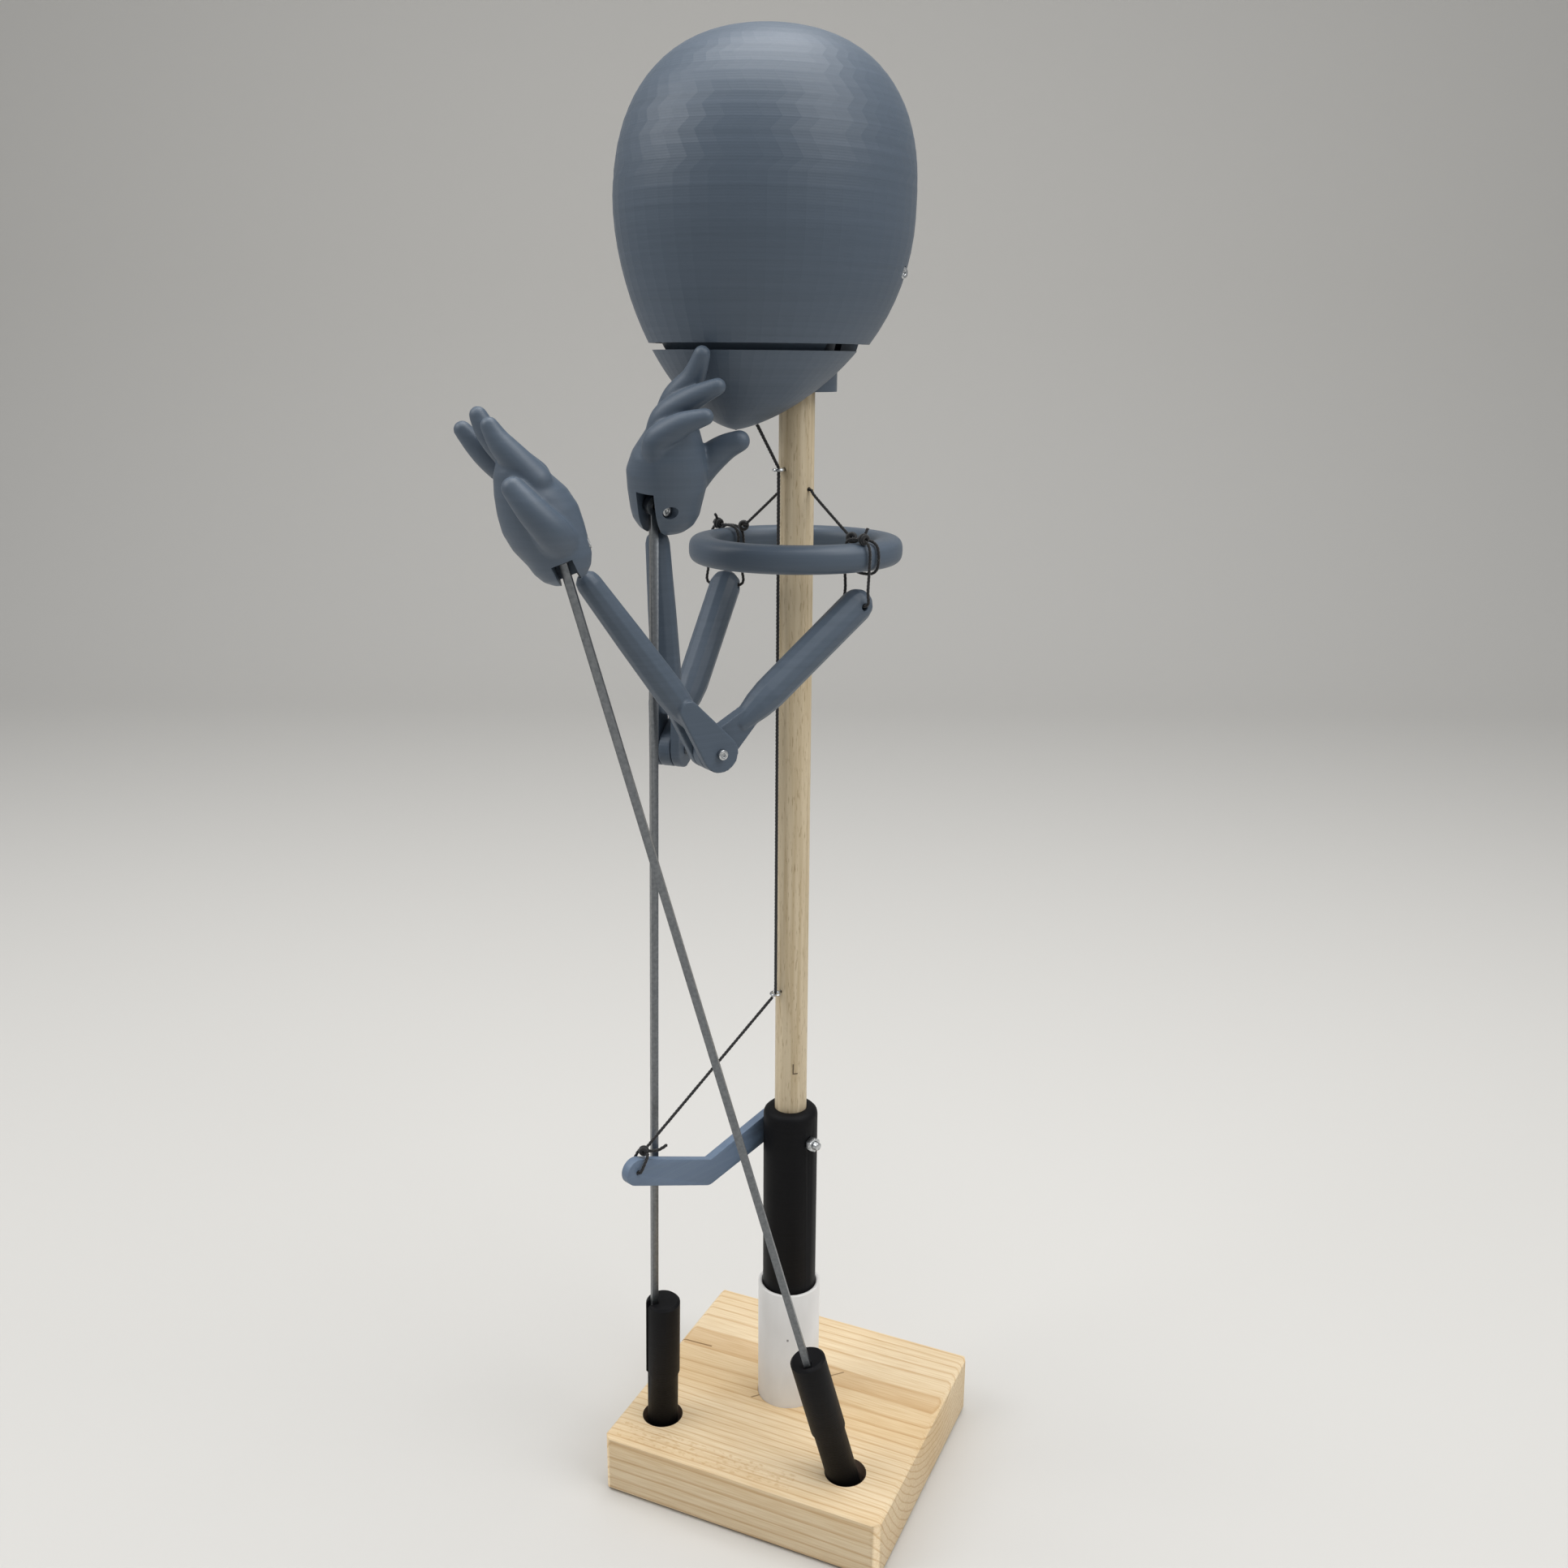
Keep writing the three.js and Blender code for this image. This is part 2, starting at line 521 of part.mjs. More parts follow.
// The egg taken in by an inset all round, between two heights. Rows crowd towards the crown and the chin.
function egg(inset, low, high, forward = 0, sides = 28) {
  const chin = CHIN_HEIGHT + inset;
  const crown = HEAD_TOP - inset;
  const [start, end] = [Math.max(low, chin), Math.min(high, crown)];
  const angleOf = (z) => (z >= HEAD_WIDEST
    ? Math.asin((z - HEAD_WIDEST) / (crown - HEAD_WIDEST))
    : -Math.asin((HEAD_WIDEST - z) / (HEAD_WIDEST - chin)));
  const heightOf = (angle) => HEAD_WIDEST
    + Math.sin(angle) * (angle >= 0 ? crown - HEAD_WIDEST : HEAD_WIDEST - chin);
  const rows = Math.max(5, Math.round((angleOf(end) - angleOf(start)) / rad(13)));
  const closeTo = 0.02;
  const [first, last] = [angleOf(start), angleOf(end)];
  const rings = [];
  for (let r = 0; r <= rows; r += 1) {
    const share = THREE.MathUtils.clamp(r / rows, start > chin ? 0 : closeTo, end < crown ? 1 : 1 - closeTo);
    const z = heightOf(THREE.MathUtils.lerp(first, last, share));
    const section = headSection(CHIN_HEIGHT + ((z - chin) / (crown - chin)) * (HEAD_TOP - CHIN_HEIGHT));
    const halfWidth = Math.max(HEAD_HALF_WIDTH * section.scale - inset, 0.5);
    const halfDepth = Math.max(HEAD_HALF_DEPTH * section.scale - inset, 0.5);
    rings.push(Array.from({ length: sides }, (_, i) => {
      const angle = (i / sides) * 2 * Math.PI;
      return vec(
        halfWidth * Math.cos(angle), -section.forward - forward + halfDepth * Math.sin(angle), z,
      );
    }));
  }
  const middle = (ring, z) => ring.reduce((sum, p) => sum.add(p), vec(0, 0, 0)).divideScalar(sides).setZ(z);
  return loft(rings, middle(rings[0], start), middle(rings.at(-1), end));
}

const SHELL_BOTTOM = MOUTH_HEIGHT + MOUTH_GAP / 2;
const JAW_TOP = MOUTH_HEIGHT - MOUTH_GAP / 2;
const EAR_OUTSIDE = EAR_INSIDE + EAR_THICKNESS;
const BOSS_INNER = EAR_OUTSIDE + RUNNING_FIT;
const BOSS_RADIUS = 6;
const HINGE_RADIUS = HINGE_SCREW_DIAMETER / 2;
const FAR = 300;

// Outer half width of the head beside the hinge, where the screw heads sit.
function hingeHalfWidth() {
  const { scale, forward } = headSection(HINGE_HEIGHT);
  const depth = (HINGE_BACK + forward) / (HEAD_HALF_DEPTH * scale);
  return HEAD_HALF_WIDTH * scale * Math.sqrt(1 - depth ** 2);
}

const HINGE_SEAT = hingeHalfWidth() - 2.2;   // floor of the counterbore for each screw head

function headShell() {
  return cut(join(egg(0, SHELL_BOTTOM, FAR * 3)), egg(HEAD_WALL, SHELL_BOTTOM - 1, FAR * 3));
}

function headFront() {
  const behind = boxAt(FAR, FAR, FAR * 2, 0, BACK_SPLIT + FAR / 2, HEAD_WIDEST);
  const doorway = boxAt(
    2 * (EAR_OUTSIDE + 2.5), FAR, BACK_COVER_BOTTOM - SHELL_BOTTOM, 0, 5 + FAR / 2,
    (BACK_COVER_BOTTOM + SHELL_BOTTOM) / 2 - 2,
  );
  const slab = boxAt(
    FAR, FAR + 2 * BACK_SPLIT, NECK_PLATE_THICKNESS, 0, -FAR / 2, PLATE_BOTTOM + NECK_PLATE_THICKNESS / 2,
  );
  const plate = cut(
    join(egg(HEAD_WALL / 2, SHELL_BOTTOM, FAR * 3)).intersect(solidOf(slab)),
    cylinder(vec(0, 0, SHELL_BOTTOM), vec(0, 0, HEAD_TOP), NECK_SPIGOT_RADIUS + FIT, 28),
  );
  const bosses = [-1, 1].map((s) => across(
    BOSS_RADIUS, s * BOSS_INNER, s * (HINGE_SEAT + 0.5), HINGE_BACK, HINGE_HEIGHT,
  ));
  let shell = cut(headShell(), behind, doorway).add(plate);
  shell = shell.add(join(...bosses).intersect(solidOf(egg(FIT, SHELL_BOTTOM, FAR * 3))));
  return cut(
    shell,
    across(HINGE_RADIUS + FIT, -FAR, FAR, HINGE_BACK, HINGE_HEIGHT, 14),
    ...[-1, 1].map((s) => across(
      HINGE_SCREW_HEAD / 2 + FIT, s * HINGE_SEAT, s * FAR, HINGE_BACK, HINGE_HEIGHT,
    )),
  );
}

function headBack() {
  const lip = 5;
  const region = (from, bottom) => solidOf(boxAt(FAR, FAR, FAR, 0, from + FAR / 2, bottom + FAR / 2));
  const cover = headShell().intersect(region(BACK_SPLIT + FIT, BACK_COVER_BOTTOM));
  const layer = (outside, inside) => cut(
    join(egg(outside, SHELL_BOTTOM, FAR * 3)), egg(inside, SHELL_BOTTOM, FAR * 3),
  );
  const tongue = layer(HEAD_WALL + FIT, HEAD_WALL + 2.3)
    .intersect(region(BACK_SPLIT - lip, BACK_COVER_BOTTOM))
    .subtract(region(BACK_SPLIT + lip, 0));
  const bridge = layer(HEAD_WALL - 1, HEAD_WALL + 2.3)
    .intersect(region(BACK_SPLIT + FIT, BACK_COVER_BOTTOM))
    .subtract(region(BACK_SPLIT + lip, 0));
  return cover.add(tongue).add(bridge);
}

function jaw() {
  const outer = egg(JAW_INSET, 0, JAW_TOP, JAW_FORWARD);
  const inner = egg(JAW_INSET + HEAD_WALL, 0, JAW_TOP + 1, JAW_FORWARD);
  const swing = Math.tan(rad(JAW_OPEN));
  const roomFront = (radius, height) => -(radius + (HINGE_HEIGHT - height) * swing + 1.5);
  const notch = (halfWidth, radius, low, high) => boxAt(
    2 * halfWidth, FAR, high - low, 0, roomFront(radius, low) + FAR / 2, (low + high) / 2,
  );
  const collar = NECK_DIAMETER / 2;
  const drop = HINGE_HEIGHT - JAW_TOP + 8;
  const ears = [-1, 1].map((s) => flatLink([0, 0], 8, [-HINGE_BACK, -drop], 5.5, EAR_THICKNESS)
    .rotateX(Math.PI / 2).rotateZ(Math.PI / 2)
    .translate(s * (EAR_INSIDE + EAR_THICKNESS / 2), HINGE_BACK, HINGE_HEIGHT));
  const bowl = cut(
    join(outer), inner,
    notch(collar + 2.5, collar, NECK_BOTTOM - 3, FAR * 3),
    notch(DOWEL_RADIUS + 2.5, DOWEL_RADIUS, CHIN_HEIGHT - 5, FAR * 3),
  );
  const beside = cut(join(boxAt(FAR, FAR, FAR, 0, 0, JAW_TOP - FAR / 2)), outer);
  return cut(
    bowl.add(join(...ears).subtract(beside)).add(jawLip()),
    across(HINGE_RADIUS + RUNNING_FIT, -FAR, FAR, HINGE_BACK, HINGE_HEIGHT, 14),
    cylinder(
      vec(0, -JAW_CORD_FORWARD, 0), vec(0, -JAW_CORD_FORWARD, JAW_TOP), CONTROL_CORD_DIAMETER / 2 + FIT, 10,
    ),
  );
}

// A lip that stands inside the front of the shell, on a ledge from the jaw's wall.
function jawLip() {
  const outside = HEAD_WALL + LIP_GAP;
  const foot = JAW_TOP - LIP_FOOT;
  const hollow = egg(outside + LIP_WALL, foot - 1, SHELL_BOTTOM + LIP_RISE + 1);
  const ledge = egg(JAW_INSET + HEAD_WALL / 2, foot, JAW_TOP - 1, JAW_FORWARD);
  const front = boxAt(FAR, FAR, FAR, 0, LIP_BACK - FAR / 2, MOUTH_HEIGHT);
  return cut(join(egg(outside, foot, SHELL_BOTTOM + LIP_RISE), ledge), hollow).intersect(solidOf(front));
}

// Height of the jaw's skin on the middle line at a place forward of the rod, by halving.
function jawSkin(forward, inset) {
  let [low, high] = [CHIN_HEIGHT + inset, JAW_TOP];
  const reaches = (z) => {
    const share = (z - CHIN_HEIGHT - inset) / (HEAD_HEIGHT - 2 * inset);
    const section = headSection(CHIN_HEIGHT + share * HEAD_HEIGHT);
    return Math.abs(forward - section.forward - JAW_FORWARD) < HEAD_HALF_DEPTH * section.scale - inset;
  };
  for (let i = 0; i < 30; i += 1) {
    const z = (low + high) / 2;
    if (reaches(z)) high = z;
    else low = z;
  }
  return high;
}

function neckSocket() {
  const collar = NECK_DIAMETER / 2;
  const bore = DOWEL_RADIUS + FIT;
  const capBottom = DOWEL_TOP + FIT;
  const capTop = capBottom + NECK_CAP;
  const spigotTop = PLATE_BOTTOM + NECK_PLATE_THICKNESS + 2;
  const body = turned([
    [bore, NECK_BOTTOM], [collar, NECK_BOTTOM], [collar, capTop], [NECK_SPIGOT_RADIUS, capTop],
    [NECK_SPIGOT_RADIUS, spigotTop], [0, spigotTop], [0, capBottom], [bore, capBottom], [bore, NECK_BOTTOM],
  ], 28);
  const barEnd = EAR_INSIDE - RUNNING_FIT;
  const bar = across(HINGE_BAR_RADIUS, -barEnd, barEnd, HINGE_BACK, HINGE_HEIGHT);
  const pilot = (s) => across(
    HINGE_RADIUS + FIT, s * (barEnd - HINGE_SCREW_GRIP - 1), s * FAR, HINGE_BACK, HINGE_HEIGHT, 14,
  );
  return cut(
    join(body, bar),
    cylinder(vec(0, 0, DOWEL_TOP), vec(0, 0, NECK_BOTTOM - 1), bore, 28),
    pilot(-1), pilot(1),
    cylinder(
      vec(0, 0, NECK_SCREW_HEIGHT), vec(0, FAR, NECK_SCREW_HEIGHT), NECK_SCREW_DIAMETER / 2 + FIT, 10,
    ),
  );
}

const HINGE_SCREW_GRIP = 10;
const SCREW_HEAD_HEIGHT = 2.2;

// A screw along +X with its head's underside at the origin and its shank towards -X, or on through a nut.
function headScrew(diameter, headDiameter, length) {
  const head = across(headDiameter / 2, 0, SCREW_HEAD_HEIGHT, 0, 0, 12);
  const shank = across(diameter / 2, -length, 0.2, 0, 0, 8);
  const socket = across(diameter * 0.42, SCREW_HEAD_HEIGHT - 1.2, SCREW_HEAD_HEIGHT + 1, 0, 0, 6);
  return cut(join(head, shank), socket);
}

// Shoulder ring and cords

function ringSection(offset, sides) {
  const soft = 0.72;
  const corner = (value) => Math.sign(value) * Math.abs(value) ** soft;
  return Array.from({ length: sides }, (_, i) => {
    const angle = (i / sides) * 2 * Math.PI;
    return [
      (RING_WIDTH / 2 + offset) * corner(Math.cos(angle)),
      (RING_DEPTH / 2 + offset) * corner(Math.sin(angle)),
    ];
  });
}

function shoulderRing() {
  const section = ringSection(0, 10);
  const profile = [...section, section[0]].map(([r, z]) => [RING_RADIUS + r, RING_HEIGHT + z]);
  return join(turned(profile, 36));
}

// One cord through the dowel, knotted at each end to a loop round the ring.
function ringCord() {
  const offset = RING_CORD_DIAMETER / 2 + RUNNING_FIT;
  const knotX = RING_RADIUS - RING_WIDTH / 2 - offset;
  const knotZ = RING_HEIGHT + RING_DEPTH / 2 + offset;
  const loops = [-1, 1].map((s) => cordLoop(
    ringSection(offset, 12).map(([r, z]) => vec(s * (RING_RADIUS + r), 0, RING_HEIGHT + z)),
    RING_CORD_DIAMETER, 12,
  ));
  const knots = [-1, 1].map((s) => knotAt(vec(s * knotX, 0, knotZ), RING_CORD_DIAMETER * 1.5));
  const outside = DOWEL_RADIUS + RING_CORD_DIAMETER;
  const hanging = [
    [knotX, knotZ], [outside + 3.5, RING_CORD_HOLE_HEIGHT - 4], [outside, RING_CORD_HOLE_HEIGHT - 0.2],
    [outside * 0.7, RING_CORD_HOLE_HEIGHT], [outside * 0.25, RING_CORD_HOLE_HEIGHT],
  ];
  const strand = cordAlong([
    ...hanging.map(([x, z]) => vec(-x, 0, z)),
    ...hanging.toReversed().map(([x, z]) => vec(x, 0, z)),
  ], RING_CORD_DIAMETER, 20);
  return join(strand, ...loops, ...knots);
}

const UP = vec(0, 0, 1);
const inWorld = (point) => point.clone().applyAxisAngle(UP, rad(PUPPET_TURN));

function shoulderPoint(arm) {
  const aside = arm.sign * Math.sqrt(RING_RADIUS ** 2 - SHOULDER_FORWARD ** 2);
  return inWorld(vec(aside, -SHOULDER_FORWARD, SHOULDER_HEIGHT));
}

// Joints of an arm: the elbow hangs below the line from shoulder to wrist, in the upright plane through both.
function armJoints(arm) {
  const shoulder = shoulderPoint(arm);
  const reach = arm.wrist.clone().add(vec(...arm.heel, 0)).sub(shoulder);
  const heading = Math.atan2(reach.y, reach.x);
  const level = Math.hypot(reach.x, reach.y);
  const span = Math.hypot(level, reach.z);
  const squares = UPPER_ARM_LENGTH ** 2 + span ** 2 - FOREARM_LENGTH ** 2;
  const inner = Math.acos(squares / (2 * UPPER_ARM_LENGTH * span));
  const drop = inner - Math.atan2(reach.z, level);
  const elbow = [UPPER_ARM_LENGTH * Math.cos(drop), -UPPER_ARM_LENGTH * Math.sin(drop)];
  const rise = Math.atan2(reach.z - elbow[1], level - elbow[0]);
  return { shoulder, heading, drop, elbow, rise };
}

// A loop of cord over the ring and through the arm's hole, knotted on top of the ring.
function shoulderTie(joints) {
  const offset = RING_CORD_DIAMETER / 2 + 2 * FIT;
  const outward = vec(joints.shoulder.x, joints.shoulder.y, 0).normalize();
  const axis = vec(-Math.sin(joints.heading), Math.cos(joints.heading), 0);
  if (axis.dot(outward) < 0) axis.negate();
  const ringMiddle = outward.clone().multiplyScalar(RING_RADIUS).setZ(RING_HEIGHT);
  const beside = UPPER_ARM_DIAMETER / 2 + offset;
  const at = (r, z) => ringMiddle.clone().addScaledVector(outward, r).add(vec(0, 0, z));
  const [halfWidth, halfDepth] = [RING_WIDTH / 2 + offset, RING_DEPTH / 2 + offset];
  const rest = (SHOULDER_HOLE_DIAMETER - RING_CORD_DIAMETER) / 2 - FIT - 0.1;
  const hole = (reach, up) => joints.shoulder.clone().addScaledVector(axis, reach).add(vec(0, 0, up));
  const points = [
    hole(0, rest), hole(beside * 0.75, rest), hole(beside + 0.6, 3), hole(beside, 9),
    at(halfWidth, -halfDepth * 0.5), at(halfWidth, halfDepth * 0.5), at(halfWidth * 0.6, halfDepth),
    at(-halfWidth * 0.6, halfDepth), at(-halfWidth, halfDepth * 0.5), at(-halfWidth, -halfDepth * 0.5),
    hole(-beside, 9), hole(-beside - 0.6, 3), hole(-beside * 0.75, rest),
  ];
  const knot = at(halfWidth * 0.5, halfDepth + RING_CORD_DIAMETER * 0.6);
  return join(cordLoop(points, RING_CORD_DIAMETER, 24), knotAt(knot, RING_CORD_DIAMETER * 1.35));
}

// Control cord: from the jaw through both eyes to the lever

const CORD_PLANE = -EYE_FORWARD;
const LEVER_HOLE = vec(LEVER_INNER - LEVER_THICKNESS / 2, LEVER_TIP[0], TRIGGER_HEIGHT + LEVER_TIP[1]);
const KNOT_RADIUS = CONTROL_CORD_DIAMETER * 1.4;
const LEVER_KNOT = LEVER_HOLE.clone().add(vec(0, 1, LEVER_TIP_RADIUS + KNOT_RADIUS + FIT));

function jawKnot() {
  const floor = jawSkin(JAW_CORD_FORWARD, JAW_INSET + HEAD_WALL);
  const below = jawSkin(JAW_CORD_FORWARD, JAW_INSET);
  return join(
    knotAt(vec(0, -JAW_CORD_FORWARD, floor + KNOT_RADIUS + 1.2), KNOT_RADIUS),
    cordAlong(
      [vec(0, -JAW_CORD_FORWARD, below - 1), vec(0, -JAW_CORD_FORWARD, floor + KNOT_RADIUS)],
      CONTROL_CORD_DIAMETER, 1,
    ),
  );
}

function cordUpper() {
  const below = jawSkin(JAW_CORD_FORWARD, JAW_INSET);
  const eye = vec(0, CORD_PLANE, EYE_HEIGHTS[1] + CONTROL_CORD_DIAMETER / 2);
  const start = vec(0, -JAW_CORD_FORWARD, below - 1 - CONTROL_CORD_DIAMETER / 2);
  return join(cordAlong([start, eye], CONTROL_CORD_DIAMETER, 4));
}

function cordMiddle() {
  return join(cordAlong(
    [vec(0, CORD_PLANE, EYE_HEIGHTS[1]), vec(0, CORD_PLANE, EYE_HEIGHTS[0])], CONTROL_CORD_DIAMETER, 12,
  ));
}

function cordLower() {
  const eye = vec(0, CORD_PLANE, EYE_HEIGHTS[0]);
  const toLever = LEVER_KNOT.clone().sub(eye).normalize();
  const start = eye.clone().addScaledVector(toLever, 3 * FIT + CONTROL_CORD_DIAMETER);
  const end = LEVER_KNOT.clone().addScaledVector(toLever, -KNOT_RADIUS - FIT);
  return join(cordAlong([start, end], CONTROL_CORD_DIAMETER, 8));
}

// A loop round the lever's tip through its hole, with the knot on top.
function leverKnot() {
  const away = LEVER_THICKNESS / 2 + CONTROL_CORD_DIAMETER / 2 + RUNNING_FIT;
  const over = LEVER_TIP_RADIUS + CONTROL_CORD_DIAMETER / 2 + 2 * FIT;
  const at = (x, z) => LEVER_HOLE.clone().add(vec(x, 0, z));
  const loop = cordLoop([
    at(away * 0.7, 0), at(away + 0.4, 1.5), at(away, over - 0.8), at(away * 0.6, over), at(-away * 0.6, over),
    at(-away, over - 0.8), at(-away - 0.4, 1.5), at(-away * 0.7, 0),
  ], CONTROL_CORD_DIAMETER, 20);
  return join(loop, knotAt(LEVER_KNOT, KNOT_RADIUS));
}

function jawElastic() {
  const bottom = jawSkin(ELASTIC_FORWARD, JAW_INSET + HEAD_WALL) + 1.5;
  return join(cordAlong(
    [vec(0, -ELASTIC_FORWARD, bottom), vec(0, -ELASTIC_FORWARD, PLATE_BOTTOM - FIT)], ELASTIC_DIAMETER, 6,
  ));
}

// Arms: bars run along +X of their own frames, from the shoulder hole or the elbow screw, with Y along
// the screws

function flatAcrossY(link, y = 0) {
  return link.rotateX(Math.PI / 2).translate(0, y, 0);
}

function upperArm() {
  const radius = UPPER_ARM_DIAMETER / 2;
  const end = UPPER_ARM_LENGTH - ELBOW_NECK;
  const bar = limb(
    [vec(0, 0, 0), vec(end * 0.4, 0, 0), vec(end * 0.8, 0, 0), vec(end - 1, 0, 0)],
    [radius, radius, radius * 0.96, ELBOW_NECK_RADIUS], 12, 8,
  );
  const tongue = flatAcrossY(flatLink(
    [UPPER_ARM_LENGTH, 0], ELBOW_RADIUS, [end - 8, 0], ELBOW_NECK_RADIUS, ELBOW_TONGUE,
  ));
  return cut(
    join(bar, tongue),
    cylinder(vec(0, -FAR, 0), vec(0, FAR, 0), SHOULDER_HOLE_DIAMETER / 2, 14),
    cylinder(vec(UPPER_ARM_LENGTH, -FAR, 0), vec(UPPER_ARM_LENGTH, FAR, 0), ARM_SCREW_DIAMETER / 2 + FIT, 12),
  );
}

const EAR_MIDDLE = ELBOW_TONGUE / 2 + RUNNING_FIT + ELBOW_EAR / 2;
const ELBOW_OUTSIDE = EAR_MIDDLE + ELBOW_EAR / 2;
const FOREARM_END = FOREARM_LENGTH - WRIST_STANDOFF;

function forearm() {
  const [wide, slim] = [FOREARM_DIAMETER / 2, FOREARM_WRIST_DIAMETER / 2];
  const stations = [ELBOW_NECK + 1, ELBOW_NECK + FOREARM_DIAMETER, FOREARM_END * 0.7, FOREARM_END - slim];
  const bar = limb(
    stations.map((x) => vec(x, 0, 0)), [ELBOW_NECK_RADIUS, wide, (wide + slim) / 2, slim], 12, 8,
  );
  const ears = [-1, 1].map((s) => flatAcrossY(
    flatLink([0, 0], ELBOW_RADIUS, [ELBOW_NECK + 10, 0], ELBOW_NECK_RADIUS, ELBOW_EAR), s * EAR_MIDDLE,
  ));
  const room = boxAt(ELBOW_NECK * 2, ELBOW_TONGUE + 2 * RUNNING_FIT, FAR, 0, 0, 0);
  const tieHole = across(WRIST_TIE_DIAMETER / 2 + FIT, FOREARM_END - 9, FOREARM_END + 5, 0, 0, 12);
  const clear = new THREE.CylinderGeometry(
    ELBOW_RADIUS + 1, ELBOW_RADIUS + 1, ELBOW_TONGUE + 2 * RUNNING_FIT, 28,
  );
  return cut(
    join(bar, ...ears), room, clear, tieHole,
    cylinder(vec(0, -FAR, 0), vec(0, FAR, 0), ARM_SCREW_DIAMETER / 2 + FIT, 12),
  );
}

function wristTie(arm) {
  const end = FOREARM_LENGTH - arm.tieStandoff;
  return join(across(WRIST_TIE_DIAMETER / 2, FOREARM_END - 8, end, 0, 0, 12));
}

// Hands

function hand({ digits, slotTurn, opening, windowTop, behind }) {
  const sides = 14;
  const rings = PALM_ROWS.map(([z, halfWidth, halfDepth, x, y]) => Array.from({ length: sides }, (_, i) => {
    const angle = (i / sides) * 2 * Math.PI;
    return vec(x + halfWidth * Math.cos(angle), y + halfDepth * Math.sin(angle), z);
  }));
  const beyond = ([z, , , x, y], way) => vec(x, y, z + way * HEEL_ROUNDING);
  const palm = loft(rings, beyond(PALM_ROWS[0], -1), beyond(PALM_ROWS.at(-1), 1.5));
  const along = (points) => points.map((point) => vec(...point));
  const fingers = [digits.index, digits.middle, digits.ring].map(
    (points) => limb(along(points), FINGER_RADII),
  );
  const thumb = limb(along(digits.thumb), THUMB_RADII);
  const outline = new THREE.Shape([
    [-FAR, -FAR], [FAR, -FAR], [FAR, windowTop], [9, windowTop], [2, SLOT_TOP],
    [-6, SLOT_TOP - 2], [-9, -4], [-FAR, -10],
  ].map(([y, z]) => new THREE.Vector2(opening * y, z)));
  const slot = new THREE.ExtrudeGeometry(outline, { depth: SLOT_WIDTH, bevelEnabled: false })
    .translate(0, 0, -SLOT_WIDTH / 2).rotateX(Math.PI / 2).rotateZ(Math.PI / 2);
  const seat = wristSeat(behind);
  const screwSeat = (s) => across(
    ARM_SCREW_HEAD / 2 + FIT + 0.4, s * seat, s * FAR, 0, 0, 18,
  );
  const body = join(palm, ...fingers, thumb).rotate(0, 0, -slotTurn).translate(0, -behind, 0);
  return cut(
    body, slot, screwSeat(-1), screwSeat(1),
    across(ARM_SCREW_DIAMETER / 2 + FIT, -FAR, FAR, 0, 0, 12),
  );
}

const wristSeat = (behind) => Math.sqrt(HEEL_HALF_WIDTH ** 2 - behind ** 2) - SEAT_DEPTH;

// Rods and handles: in world axes, because each one runs from a wrist to its own hole in the board

function handFrame(arm) {
  const euler = new THREE.Euler(rad(arm.leanForward), rad(arm.leanSide), rad(arm.palm), 'ZXY');
  const slot = new THREE.Quaternion().setFromAxisAngle(UP, rad(arm.slotTurn));
  return new THREE.Quaternion().setFromEuler(euler).multiply(slot);
}

// A parked rod: its peg stands on the floor of the hole, slanting to the wrist about the middle of the hole.
function rodLine(arm) {
  const floor = BOARD_THICKNESS - PEG_HOLE_DEPTH + FIT;
  const foot = vec(arm.sign * PEG_HOLE_X, PEG_HOLE_Y, (BOARD_THICKNESS + floor) / 2);
  const facing = vec(Math.sin(rad(arm.groove)), -Math.cos(rad(arm.groove)), 0);
  const base = foot.clone().addScaledVector(facing, GROOVE_OFFSET);
  const up = arm.wrist.clone().sub(base).normalize();
  const groove = facing.clone().addScaledVector(up, -facing.dot(up)).normalize();
  const lowestCorner = (PEG_DIAMETER / 2) * Math.hypot(up.x, up.y);
  const tip = foot.clone().addScaledVector(up, (floor + lowestCorner - foot.z) / up.z);
  return { tip, up, groove };
}

const lineFrame = ({ up, groove }) => new THREE.Matrix4().makeBasis(
  new THREE.Vector3().crossVectors(groove.clone().negate(), up), groove.clone().negate(), up,
);

function rodHandle(arm, line) {
  const [wide, slim] = [HANDLE_DIAMETER / 2, PEG_DIAMETER / 2];
  const top = PEG_LENGTH + HANDLE_LENGTH;
  const edge = 1.5;
  const body = turned([
    [0, 0], [slim - edge, 0], [slim, edge], [slim, PEG_LENGTH], [wide, PEG_LENGTH + edge], [wide, top - edge],
    [wide - edge, top], [0, top],
  ], 28);
  const depth = arm.bored ? ROD_SIDE + 2 * FIT : HANDLE_DIAMETER;
  const groove = boxAt(
    ROD_SIDE + 2 * FIT, depth, HANDLE_LENGTH + 10, 0, -GROOVE_OFFSET + ROD_SIDE / 2 + FIT - depth / 2,
    PEG_LENGTH + (HANDLE_LENGTH + 10) / 2,
  );
  const place = lineFrame(line).setPosition(line.tip);
  return cut(join(body), groove).transform(place.elements);
}

function armRod(arm, line, turn) {
  const start = line.tip.clone().addScaledVector(line.groove, GROOVE_OFFSET)
    .addScaledVector(line.up, PEG_LENGTH + FIT);
  const length = arm.wrist.distanceTo(start);
  const bar = new THREE.BoxGeometry(ROD_SIDE, ROD_SIDE, length - ROD_EYE_RADIUS + 1)
    .translate(0, 0, (length - ROD_EYE_RADIUS + 1) / 2)
    .applyMatrix4(lineFrame(line).setPosition(start));
  const place = (geometry) => geometry.applyQuaternion(turn).translate(arm.wrist.x, arm.wrist.y, arm.wrist.z);
  const eye = place(across(ROD_EYE_RADIUS, -ROD_SIDE / 2, ROD_SIDE / 2, 0, 0, 20));
  return cut(join(bar, eye), place(across(ROD_EYE_HOLE / 2, -ROD_SIDE, ROD_SIDE, 0, 0, 14)));
}

// Assembly

